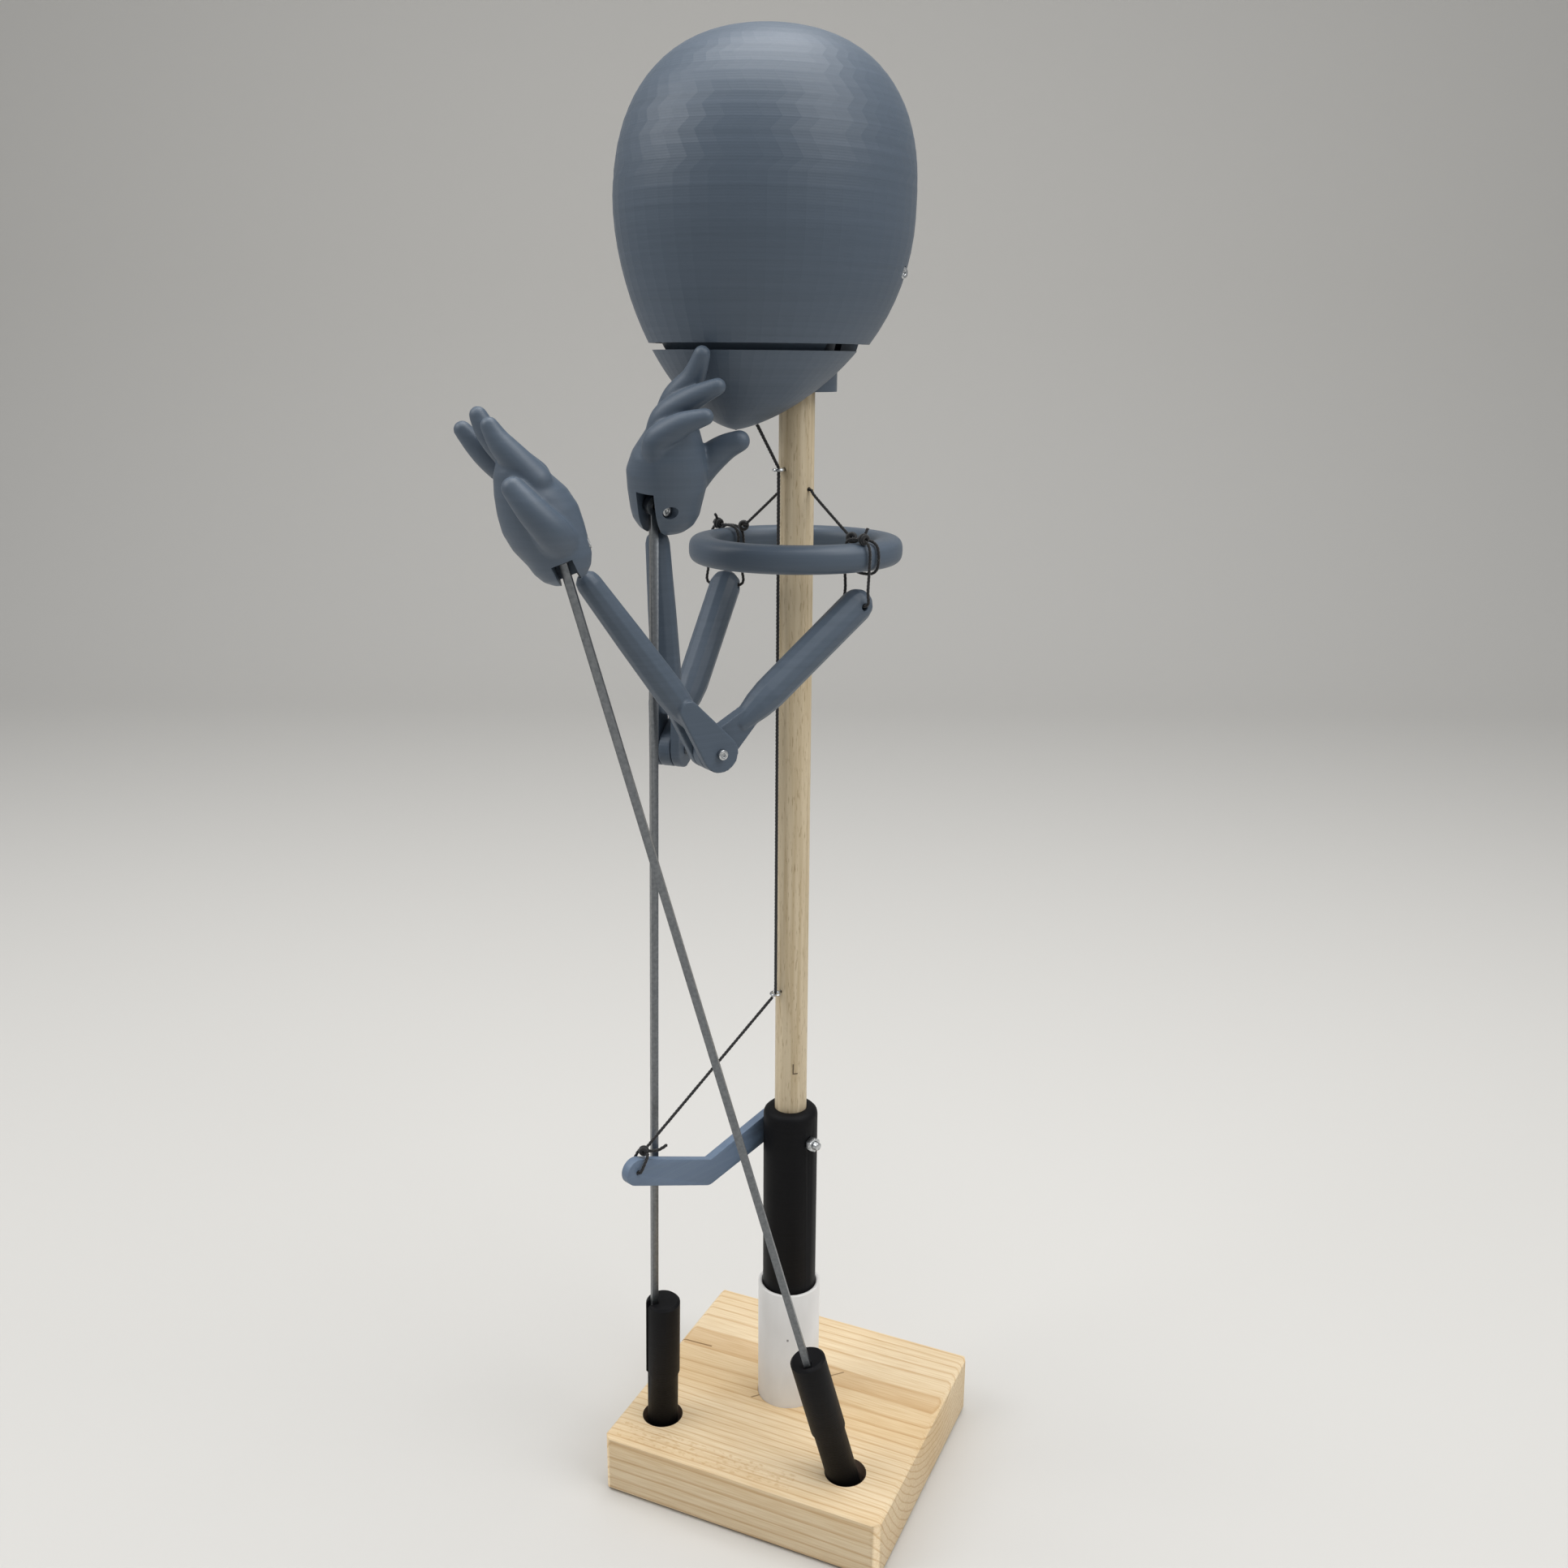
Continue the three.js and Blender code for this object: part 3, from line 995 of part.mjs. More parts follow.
const model = new THREE.Group();
piece(model, 'base_board', baseBoard(), PINE);
piece(model, 'stand_tube', standTube(), PVC_WHITE);

const puppet = new THREE.Group();
puppet.rotation.z = rad(PUPPET_TURN);
model.add(puppet);

piece(puppet, 'main_rod', mainRod(), DOWEL_WOOD);
piece(puppet, 'grip', grip(), PLA_BLACK);
piece(puppet, 'trigger_lever', triggerLever(), PLA_LEVER);
piece(puppet, 'trigger_bolt', triggerBolt(), ZINC);
piece(puppet, 'trigger_nut', hexNut(NUT_RADIUS, BOLT_RADIUS + FIT, NUT_HEIGHT), ZINC)
  .position.set(GRIP_RADIUS + FIT + NUT_HEIGHT / 2, 0, TRIGGER_HEIGHT);
piece(puppet, 'lower_screw_eye', screwEye(EYE_HEIGHTS[0]), ZINC);
piece(puppet, 'upper_screw_eye', screwEye(EYE_HEIGHTS[1]), ZINC);

piece(puppet, 'neck_socket', neckSocket(), PLA_SLATE);
const neckScrew = piece(
  puppet, 'neck_screw', headScrew(NECK_SCREW_DIAMETER, HINGE_SCREW_HEAD, NECK_DIAMETER / 2 - 4), ZINC,
);
neckScrew.rotation.z = Math.PI / 2;
neckScrew.position.set(0, NECK_DIAMETER / 2 + FIT, NECK_SCREW_HEIGHT);
piece(puppet, 'head_front', headFront(), PLA_SLATE);
piece(puppet, 'head_back', headBack(), PLA_SLATE);
piece(puppet, 'jaw', jaw(), PLA_SLATE);
piece(puppet, 'jaw_elastic', jawElastic(), CORD_BLACK);
for (const arm of ARMS) {
  const length = HINGE_SEAT - EAR_INSIDE + HINGE_SCREW_GRIP;
  const screw = piece(
    puppet, `${arm.side}_hinge_screw`, headScrew(HINGE_SCREW_DIAMETER, HINGE_SCREW_HEAD, length), ZINC,
  );
  screw.rotation.z = arm.sign > 0 ? 0 : Math.PI;
  screw.position.set(arm.sign * (HINGE_SEAT + FIT), HINGE_BACK, HINGE_HEIGHT);
}

piece(puppet, 'shoulder_ring', shoulderRing(), PLA_SLATE);
piece(puppet, 'ring_cord', ringCord(), CORD_BLACK);
piece(puppet, 'jaw_knot', jawKnot(), CORD_BLACK);
piece(puppet, 'control_cord_upper', cordUpper(), CORD_BLACK);
piece(puppet, 'control_cord_middle', cordMiddle(), CORD_BLACK);
piece(puppet, 'control_cord_lower', cordLower(), CORD_BLACK);
piece(puppet, 'lever_knot', leverKnot(), CORD_BLACK);

for (const arm of ARMS) {
  const joints = armJoints(arm);
  const named = (name) => `${arm.side}_${name}`;
  piece(model, named('shoulder_tie'), shoulderTie(joints), CORD_BLACK);

  const plane = new THREE.Group();
  plane.position.copy(joints.shoulder);
  plane.rotation.z = joints.heading;
  model.add(plane);

  const upper = new THREE.Group();
  upper.name = named('shoulder_pivot');
  upper.rotation.y = joints.drop;
  plane.add(upper);
  piece(upper, named('upper_arm'), upperArm(), PLA_SLATE);

  const fore = new THREE.Group();
  fore.name = named('elbow_pivot');
  fore.position.set(joints.elbow[0], 0, joints.elbow[1]);
  fore.rotation.y = -joints.rise;
  plane.add(fore);
  piece(fore, named('forearm'), forearm(), PLA_SLATE);
  piece(fore, named('wrist_tie'), wristTie(arm), CORD_BLACK);
  const elbowScrew = piece(
    fore, named('elbow_screw'),
    headScrew(ARM_SCREW_DIAMETER, ARM_SCREW_HEAD, 2 * ELBOW_OUTSIDE + ARM_NUT_HEIGHT + 1.5), ZINC,
  );
  elbowScrew.rotation.z = arm.sign * Math.PI / 2;
  elbowScrew.position.set(0, arm.sign * (ELBOW_OUTSIDE + FIT), 0);
  const elbowNut = piece(fore, named('elbow_nut'), armNut(), ZINC);
  elbowNut.rotation.z = Math.PI / 2;
  elbowNut.position.set(0, -arm.sign * (ELBOW_OUTSIDE + FIT + ARM_NUT_HEIGHT / 2), 0);

  const turn = handFrame(arm);
  const wrist = new THREE.Group();
  wrist.name = named('wrist_pivot');
  wrist.position.copy(arm.wrist);
  wrist.quaternion.copy(turn);
  model.add(wrist);
  piece(wrist, named('hand'), hand(arm), PLA_SLATE);
  const seat = wristSeat(arm.behind);
  const wristScrew = piece(
    wrist, named('wrist_screw'),
    headScrew(ARM_SCREW_DIAMETER, ARM_SCREW_HEAD, 2 * seat + ARM_NUT_HEIGHT + FIT), ZINC,
  );
  wristScrew.rotation.z = Math.PI;
  wristScrew.position.set(-seat - FIT, 0, 0);
  piece(wrist, named('wrist_nut'), armNut(), ZINC)
    .position.set(seat + FIT + ARM_NUT_HEIGHT / 2, 0, 0);

  const line = rodLine(arm);
  piece(model, named('arm_rod'), armRod(arm, line, turn), STEEL_ROD);
  piece(model, named('rod_handle'), rodHandle(arm, line), PLA_BLACK);
}

export default model;
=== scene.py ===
"""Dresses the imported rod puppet: fine meshes, finishes, camera and studio light.

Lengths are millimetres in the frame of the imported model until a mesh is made, and metres after that.
"""
from __future__ import annotations

import json
import logging
from dataclasses import dataclass
from enum import Enum
from math import asin, atan2, copysign, cos, pi, radians, sin, sqrt, tan
from typing import Any, Iterable, Sequence

import bmesh
import bpy
from mathutils import Euler, Matrix, Vector


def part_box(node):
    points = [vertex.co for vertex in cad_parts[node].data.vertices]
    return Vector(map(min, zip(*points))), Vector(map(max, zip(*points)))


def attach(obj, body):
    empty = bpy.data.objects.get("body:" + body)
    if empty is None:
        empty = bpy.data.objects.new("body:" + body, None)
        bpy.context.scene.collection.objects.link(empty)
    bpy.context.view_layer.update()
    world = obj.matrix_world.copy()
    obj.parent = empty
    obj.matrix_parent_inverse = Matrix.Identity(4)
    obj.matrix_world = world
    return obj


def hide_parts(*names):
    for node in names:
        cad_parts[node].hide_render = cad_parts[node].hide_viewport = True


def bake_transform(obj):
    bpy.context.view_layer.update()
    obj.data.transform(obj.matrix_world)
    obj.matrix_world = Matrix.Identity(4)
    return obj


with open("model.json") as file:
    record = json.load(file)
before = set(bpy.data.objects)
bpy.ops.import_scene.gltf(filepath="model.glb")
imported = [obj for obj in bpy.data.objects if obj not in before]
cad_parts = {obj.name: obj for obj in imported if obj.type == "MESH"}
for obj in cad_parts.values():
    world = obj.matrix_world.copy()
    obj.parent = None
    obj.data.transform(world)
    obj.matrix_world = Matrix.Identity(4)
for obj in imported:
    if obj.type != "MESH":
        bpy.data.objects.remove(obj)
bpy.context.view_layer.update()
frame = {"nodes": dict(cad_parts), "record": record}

LOG = logging.getLogger("rod_puppet")
MM = 0.001
Point = tuple[float, float, float]
Shell = tuple[list[Vector], list[tuple[int, ...]]]
Blend = tuple[str, Point, Point]
Piece = bpy.types.Object
Socket = bpy.types.NodeSocket
UP: Point = (0.0, 0.0, 1.0)
TO_CAMERA: Point = (0.4, -0.913, 0.0)
PICTURE_RIGHT: Point = (0.913, 0.407, 0.0)
KNOT_AXIS = Vector((0.4, -0.9, 0.2))
PUPPET_TURN = -20.0


class Side(Enum):
    """The puppet's own left and right."""

    LEFT = "left"
    RIGHT = "right"

    def named(self, piece: str) -> str:
        """Gives the node name of a piece on this side."""
        return f"{self.value}_{piece}"


class Grasp(Enum):
    """How a hand's digits are bent: points along three fingers and the thumb, in the hand's frame."""

    OPEN = (((11, 2, 35), (12, -2.5, 47), (12, -6, 56.5), (12, -7.5, 65)),
            ((0, 2, 37), (0, -5.5, 52), (0, -9.5, 62.5), (0, -10.5, 71.5)),
            ((-10, 1, 33), (-12, -9.5, 45.5), (-12, -16, 57.5), (-12, -20, 68.5)),
            ((8, 1.3, 5.5), (19, 0, 12), (23, -4.6, 24.2), (22, -8.4, 35.7)))
    PINCHING = (((11, 0, 35), (11, -5.5, 50), (10.5, -15, 61), (10, -20.4, 73)),
                ((0, 2, 31), (0, -2, 44), (0, -15.5, 53.5), (0, -28.9, 60)),
                ((-10, 1, 25), (-12, 0.5, 36), (-12.5, -11.5, 44.5), (-12, -24, 48.7)),
                ((8, -8, 6), (9, -19, 17), (9, -29, 25), (8, -37.5, 29.4)))


# Shells


def lathe(profile: Sequence[tuple[float, float]], sides: int) -> Shell:
    """Turns a closed profile of (radius, height) pairs about Z."""
    return loft([[Vector((r * cos(t), r * sin(t), z)) for r, z in profile] for t in spread(sides)], True)


def loft(rings: Sequence[Sequence[Vector]], looped: bool = False) -> Shell:
    """Skins rings of equal count, with flat ends or closed on itself.

    Args:
        rings: the rings, each a list of points.
        looped: whether the last ring joins the first.

    Returns:
        Points and faces of the closed shell.
    """
    count = len(rings[0])
    points = [point for ring in rings for point in ring]
    faces: list[tuple[int, ...]] = []
    for r in range(len(rings) if looped else len(rings) - 1):
        a, b = r * count, ((r + 1) % len(rings)) * count
        for i in range(count):
            j = (i + 1) % count
            faces.append((a + i, a + j, b + j, b + i))
    if not looped:
        faces.append(tuple(reversed(range(count))))
        faces.append(tuple(range((len(rings) - 1) * count, len(rings) * count)))
    return points, faces


def bar(start: Vector, end: Vector, radius: float, sides: int = 40) -> Shell:
    """Gives a round bar between two points, used to cut or join other shells.

    Args:
        start: middle of one end.
        end: middle of the other.
        radius: of the bar.
        sides: points round it.

    Returns:
        A closed shell.
    """
    turn = (end - start).to_track_quat("Z", "Y").to_matrix()
    ring = [Vector((radius * cos(t), radius * sin(t), 0)) for t in spread(sides)]
    return loft([[place + turn @ p for p in ring] for place in (start, end)])


def spread(count: int) -> list[float]:
    """Gives equal angles round a circle."""
    return [2 * pi * i / count for i in range(count)]


def moved(shell: Shell, matrix: Matrix) -> Shell:
    """Moves a shell by a matrix in millimetres."""
    return [matrix @ point for point in shell[0]], shell[1]


def merged(shells: Iterable[Shell]) -> Shell:
    """Puts shells side by side in one list of points and faces.

    Args:
        shells: the shells.

    Returns:
        All their points and faces.
    """
    points: list[Vector] = []
    faces: list[tuple[int, ...]] = []
    for shell_points, shell_faces in shells:
        base = len(points)
        points += shell_points
        faces += [tuple(base + i for i in face) for face in shell_faces]
    return points, faces


def curve_points(route: Sequence[Vector], spacing: float, looped: bool = False) -> list[Vector]:
    """Resamples a smooth curve through route points at equal steps.

    Args:
        route: points that the curve goes through.
        spacing: step along the curve.
        looped: whether the curve closes on itself.

    Returns:
        Points along the curve.
    """
    count, parts = len(route), 24

    def at(i: int) -> Vector:
        """Gives a route point, round the loop or held at the ends."""
        return route[i % count] if looped else route[min(max(i, 0), count - 1)]

    dense: list[Vector] = []
    for i in range(count if looped else count - 1):
        a, b, c, d = at(i - 1), at(i), at(i + 1), at(i + 2)
        for step in range(parts):
            t = step / parts
            dense.append(0.5 * (2 * b + (c - a) * t + (2 * a - 5 * b + 4 * c - d) * t**2
                                + (3 * b - a - 3 * c + d) * t**3))
    dense.append(at(count) if looped else route[-1])
    travelled = [0.0]
    for a, b in zip(dense, dense[1:]):
        travelled.append(travelled[-1] + (b - a).length)
    steps = max(3, round(travelled[-1] / spacing))
    out: list[Vector] = []
    k = 0
    for s in range(steps if looped else steps + 1):
        goal = travelled[-1] * s / steps
        while k < len(dense) - 2 and travelled[k + 1] < goal:
            k += 1
        span = max(travelled[k + 1] - travelled[k], 1e-9)
        out.append(dense[k].lerp(dense[k + 1], (goal - travelled[k]) / span))
    return out


def frames_along(path: Sequence[Vector], looped: bool) -> list[tuple[Vector, Vector]]:
    """Gives two cross directions at each point of a path, turned as little as possible on the way.

    Args:
        path: points of the path.
        looped: whether it closes on itself.

    Returns:
        A pair of directions for each point.
    """
    count = len(path)
    tangents = []
    for i in range(count):
        after = path[(i + 1) % count] if looped or i < count - 1 else path[i]
        before = path[i - 1] if looped or i > 0 else path[i]
        tangents.append((after - before).normalized())
    normal = tangents[0].orthogonal().normalized()
    out = []
    for tangent in tangents:
        normal = (normal - tangent * normal.dot(tangent)).normalized()
        out.append((normal.copy(), tangent.cross(normal)))
    return out


def tube(path: Sequence[Vector], radii: Sequence[float], sides: int, looped: bool = False) -> Shell:
    """Sweeps a circle along a path, with a radius at each point.

    Args:
        path: points of its middle line.
        radii: radius at each of them.
        sides: points round it.
        looped: whether it closes on itself.

    Returns:
        A closed shell.
    """
    rings = []
    for centre, radius, (n, b) in zip(path, radii, frames_along(path, looped)):
        rings.append([centre + radius * (n * cos(t) + b * sin(t)) for t in spread(sides)])
    return loft(rings, looped)


def twisted(route: Sequence[Vector], diameter: float, looped: bool = False) -> Shell:
    """Lays three strands round each other along a route, as in a laid cord.

    Args:
        route: points of the cord's middle line.
        diameter: of the whole cord.
        looped: whether the cord closes on itself.

    Returns:
        The three strands as one list of points and faces.
    """
    pitch, steps = 3.2 * diameter, 7
    offset, radius = 0.24 * diameter, 0.27 * diameter
    path = curve_points(route, pitch / steps, looped)
    frames = frames_along(path, looped)
    turns = max(1, round(len(path) / steps))
    strands = []
    for strand in range(3):
        line = []
        for i, (centre, (n, b)) in enumerate(zip(path, frames)):
            angle = 2 * pi * (turns * i / len(path) + strand / 3)
            line.append(centre + offset * (n * cos(angle) + b * sin(angle)))
        strands.append(tube(line, [radius] * len(line), 6, looped))
    return merged(strands)


def knot_ball(centre: Vector, radius: float, diameter: float, axis: Vector) -> Shell:
    """Winds a small tight knot about a point, with its turns round an axis.

    Args:
        centre: the knot's middle.
        radius: from there to the cord's middle line.
        diameter: of the cord.
        axis: what its turns go round.

    Returns:
        A closed shell.
    """
    turn = axis.to_track_quat("Z", "Y").to_matrix()
    turns, steps, pole = 2.5, 40, 0.7
    route = []
    for k in range(steps + 1):
        across, down = 2 * pi * turns * k / steps, pole + (pi - 2 * pole) * k / steps
        level = Vector((cos(across), sin(across), 0)) * sin(down)
        route.append(centre + turn @ (level + Vector((0, 0, cos(down)))) * radius)
    return tube(route, [0.55 * diameter] * len(route), 10)


def limb(route: Sequence[Vector], radii: Sequence[float], sides: int = 20) -> Shell:
    """Builds a finger or thumb: a tube along a smooth curve with round ends.

    Args:
        route: points of its middle line.
        radii: radius at each of them.
        sides: points round it.

    Returns:
        A closed shell.
    """
    path = curve_points(route, 1.5)
    along = [i / (len(path) - 1) * (len(radii) - 1) for i in range(len(path))]
    sizes = []
    for place in along:
        low = min(int(place), len(radii) - 2)
        sizes.append(radii[low] + (radii[low + 1] - radii[low]) * (place - low))
    first, last = (path[0] - path[1]).normalized(), (path[-1] - path[-2]).normalized()
    domes = [radians(a) for a in (80, 60, 40, 20)]
    start = [(path[0] + first * sizes[0] * sin(a), sizes[0] * cos(a)) for a in domes]
    end = [(path[-1] + last * sizes[-1] * sin(a), sizes[-1] * cos(a)) for a in reversed(domes)]
    whole = start + list(zip(path, sizes)) + end
    return tube([p for p, _ in whole], [r for _, r in whole], sides)


# Objects


def linked(name: str, data: bpy.types.ID) -> Piece:
    """Makes an object of its data and links it to the scene.

    Args:
        name: the object's name.
        data: its mesh, lamp or camera.

    Returns:
        The object.
    """
    made = bpy.data.objects.new(name, data)
    bpy.context.collection.objects.link(made)
    return made


def new_object(name: str, shell: Shell) -> Piece:
    """Makes a Blender object from a shell, in metres, with its faces turned out.

    Args:
        name: the object's name.
        shell: its points in millimetres, and its faces.

    Returns:
        The object.
    """
    mesh = bpy.data.meshes.new(name)
    mesh.from_pydata([point * MM for point in shell[0]], [], shell[1])
    work = bmesh.new()
    work.from_mesh(mesh)
    bmesh.ops.recalc_face_normals(work, faces=work.faces)
    work.to_mesh(mesh)
    work.free()
    return linked(name, mesh)


def settle(piece: Piece) -> None:
    """Applies every modifier of a piece to its mesh.

    Args:
        piece: the object to change.
    """
    bpy.context.view_layer.update()
    graph = bpy.context.evaluated_depsgraph_get()
    mesh = bpy.data.meshes.new_from_object(piece.evaluated_get(graph))
    piece.modifiers.clear()
    piece.data = mesh


def combine(piece: Piece, operation: str, *others: Shell | Piece) -> None:
    """Joins other solids to a piece, or cuts or keeps it by them, one after another, and removes them.

    Args:
        piece: the object to change.
        operation: UNION, DIFFERENCE or INTERSECT.
        others: shells, or objects that aren't needed after this.
    """
    for solid in others:
        other = solid if isinstance(solid, Piece) else new_object("cutter", solid)
        step = piece.modifiers.new("combine", "BOOLEAN")
        step.object, step.operation, step.solver = other, operation, "EXACT"
        settle(piece)
        bpy.data.objects.remove(other)


def melt(piece: Piece, voxel: float, rounds: int) -> None:
    """Fuses overlapping shells into one skin on a grid in millimetres, and smooths it in rounds.

    Args:
        piece: the object to change.
        voxel: size of the grid.
        rounds: how many times the skin is smoothed.
    """
    grid = piece.modifiers.new("grid", "REMESH")
    grid.mode, grid.voxel_size = "VOXEL", voxel * MM
    soft = piece.modifiers.new("soft", "SMOOTH")
    soft.factor, soft.iterations = 0.5, rounds
    settle(piece)


def ease(piece: Piece, width: float) -> None:
    """Rounds the sharp edges of a piece by a width in millimetres.

    Args:
        piece: the object to change.
        width: of the rounding.
    """
    edge = piece.modifiers.new("edge", "BEVEL")
    edge.width, edge.segments, edge.limit_method = width * MM, 2, "ANGLE"
    edge.angle_limit = radians(50)
    settle(piece)


def copy_of(node: str) -> Piece:
    """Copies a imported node's mesh into a new object, with its split points joined and flat faces whole.

    Args:
        node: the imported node.

    Returns:
        The object.
    """
    work = bmesh.new()
    work.from_mesh(frame["nodes"][node].data)
    bmesh.ops.remove_doubles(work, verts=work.verts, dist=1e-6)
    bmesh.ops.dissolve_limit(work, angle_limit=radians(0.5), verts=work.verts, edges=work.edges)
    mesh = bpy.data.meshes.new(node)
    work.to_mesh(mesh)
    work.free()
    return linked(node + "_fine", mesh)


def body_of(node: str) -> str:
    """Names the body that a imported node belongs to."""
    bodies = frame["record"]["behaviour"]["bodies"]
    return next(name for name, nodes in bodies.items() if node in nodes)


def place(piece: Piece, node: str, finish: Finish, crease: float, blend: Blend | None = None) -> None:
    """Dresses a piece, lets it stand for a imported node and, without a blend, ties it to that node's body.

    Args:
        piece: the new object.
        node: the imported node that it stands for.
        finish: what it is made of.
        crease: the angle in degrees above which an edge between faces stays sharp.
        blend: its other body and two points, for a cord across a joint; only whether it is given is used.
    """
    for face in piece.data.polygons:
        face.use_smooth = True
    piece.data.set_sharp_from_angle(angle=radians(crease))
    piece.data.materials.clear()
    piece.data.materials.append(finish.material())
    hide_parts(node)
    if blend is None:
        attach(piece, body_of(node))
    else:
        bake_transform(piece)
    LOG.info("%s stands for %s, %d faces", piece.name, node, len(piece.data.polygons))


# Finishes


def linear(colour: str) -> tuple[float, float, float, float]:
    """Turns an sRGB hex colour to linear RGBA.

    Args:
        colour: a hash sign and six hex digits.

    Returns:
        Red, green and blue, with a full alpha.
    """
    values = [int(colour[i:i + 2], 16) / 255 for i in (1, 3, 5)]
    red, green, blue = (v / 12.92 if v <= 0.04045 else ((v + 0.055) / 1.055) ** 2.4 for v in values)
    return red, green, blue, 1.0


def bands(size: float) -> float:
    """Gives the wave texture's scale for bands a size in millimetres apart."""
    return pi / (10 * size * MM)


def grains(size: float) -> float:
    """Gives the noise texture's scale for spots of about a size in millimetres."""
    return 1 / (size * MM)


class Painter:
    """Adds the nodes of one material. Colours are sRGB hex values."""

    def __init__(self, tree: bpy.types.NodeTree) -> None:
        """Takes the material's nodes and finds the piece's own coordinates."""
        self.tree = tree
        self.own = self.add("TexCoord", {}, "Object")

    def feed(self, node: bpy.types.Node, inputs: dict[Any, Any]) -> None:
        """Sets a node's inputs, by name or number, to values or colours, or links them to sockets.

        Args:
            node: the node.
            inputs: what each input gets.
        """
        for key, value in inputs.items():
            if isinstance(value, Socket):
                self.tree.links.new(value, node.inputs[key])
            else:
                node.inputs[key].default_value = linear(value) if isinstance(value, str) else value

    def add(self, kind: str, inputs: dict[Any, Any], output: str | int = 0,
            stops: Sequence[tuple[float, str]] = (), **settings: Any) -> Socket:
        """Adds a node with its settings and links.

        Args:
            kind: its type, less the prefix that all of them have.
            inputs: values, colours or sockets, by input name or number.
            output: the output that is wanted.
            stops: positions and colours, for a node with a colour ramp.
            settings: its attributes.

        Returns:
            The socket of that output.
        """
        made = self.tree.nodes.new("ShaderNode" + kind)
        for key, value in settings.items():
            setattr(made, key, value)
        if stops:
            elements = made.color_ramp.elements
            while len(elements) < len(stops):
                elements.new(0.5)
            for element, (position, colour) in zip(elements, stops):
                element.position, element.color = position, linear(colour)
        self.feed(made, inputs)
        return made.outputs[output]

    def surface(self, inputs: dict[str, Any]) -> None:
        """Sets or links the inputs of the material's surface."""
        self.feed(self.tree.nodes["Principled BSDF"], inputs)

    def mark(self, start: Point, end: Point, width: float, facing: Point, depth: float = 4.0) -> Socket:
        """Gives a mask that is 1 on a mark from start to end, on the side that faces one way.

        Args:
            start: where the mark starts.
            end: where it ends.
            width: how wide it is.
            facing: the way that the marked side faces.
            depth: how far from that side it still counts.

        Returns:
            The mask's socket.
        """
        a, b, out = Vector(start), Vector(end), Vector(facing).normalized()
        along = (b - a).normalized()
        centred = self.add("VectorMath", {0: self.own, 1: tuple((a + b) / 2 * MM)}, operation="SUBTRACT")
        mask: Any = 1.0
        for axis, reach in ((along, (b - a).length / 2), (out.cross(along), width / 2), (out, depth)):
            offset = self.add("VectorMath", {0: centred, 1: tuple(axis)}, "Value", operation="DOT_PRODUCT")
            offset = self.add("Math", {0: offset}, operation="ABSOLUTE")
            inside = self.add("Math", {0: offset, 1: reach * MM}, operation="LESS_THAN")
            mask = self.add("Math", {0: inside, 1: mask}, operation="MULTIPLY")
        return mask


@dataclass(frozen=True)
class Finish:
    """A material and the name it is known by."""

    name: str

    def material(self) -> bpy.types.Material:
        """Gives the material, made the first time it is asked for.

        Returns:
            The material.
        """
        made = bpy.data.materials.get(self.name)
        if made is None:
            made = bpy.data.materials.new(self.name)
            made.use_nodes = True
            self.paint(Painter(made.node_tree))
        return made

    def paint(self, brush: Painter) -> None:
        """Sets the surface; each finish has its own."""
        raise NotImplementedError


@dataclass(frozen=True)
class PrintedPla(Finish):
    """Matte PLA laid down in level layers by a filament printer.

    The eye sees an even satin skin with hair lines round it, some of them a shade lighter or darker.
    The layers, 0.2 mm in truth, are drawn wider so that they show.
    """

    colour: str
    shadow: str
    layer: float = 1.3
    streak: float = 2.0
    roughness: float = 0.46
    depth: float = 0.05
    gloss: float = 0.5

    def paint(self, brush: Painter) -> None:
        """Lays the layer lines, the level streaks of shade and a fine unevenness of the gloss.

        Args:
            brush: adds the material's nodes.
        """
        lines = brush.add("TexWave", {
            "Vector": brush.own, "Scale": bands(self.layer), "Distortion": 0.25, "Detail": 1.0,
            "Detail Scale": 0.4}, "Fac", wave_type="BANDS", bands_direction="Z", wave_profile="SIN")
        level = brush.add("Mapping", {"Vector": brush.own, "Scale": (0.012, 0.012, 1.0)})
        streaks = brush.add("TexNoise", {
            "Vector": level, "Scale": grains(self.streak), "Detail": 4.0, "Roughness": 0.7})
        satin = brush.add("TexNoise", {"Vector": brush.own, "Scale": grains(1.5), "Detail": 2.0})
        brush.surface({
            "Base Color": brush.add("ValToRGB", {"Fac": streaks},
                                    stops=((0.3, self.shadow), (0.7, self.colour))),
            "Roughness": brush.add("MapRange", {
                "Value": satin, "To Min": self.roughness - 0.06, "To Max": self.roughness + 0.06}),
            "Normal": brush.add("Bump", {"Height": lines, "Strength": 0.35, "Distance": self.depth * MM}),
            "IOR": 1.46, "Specular IOR Level": self.gloss})


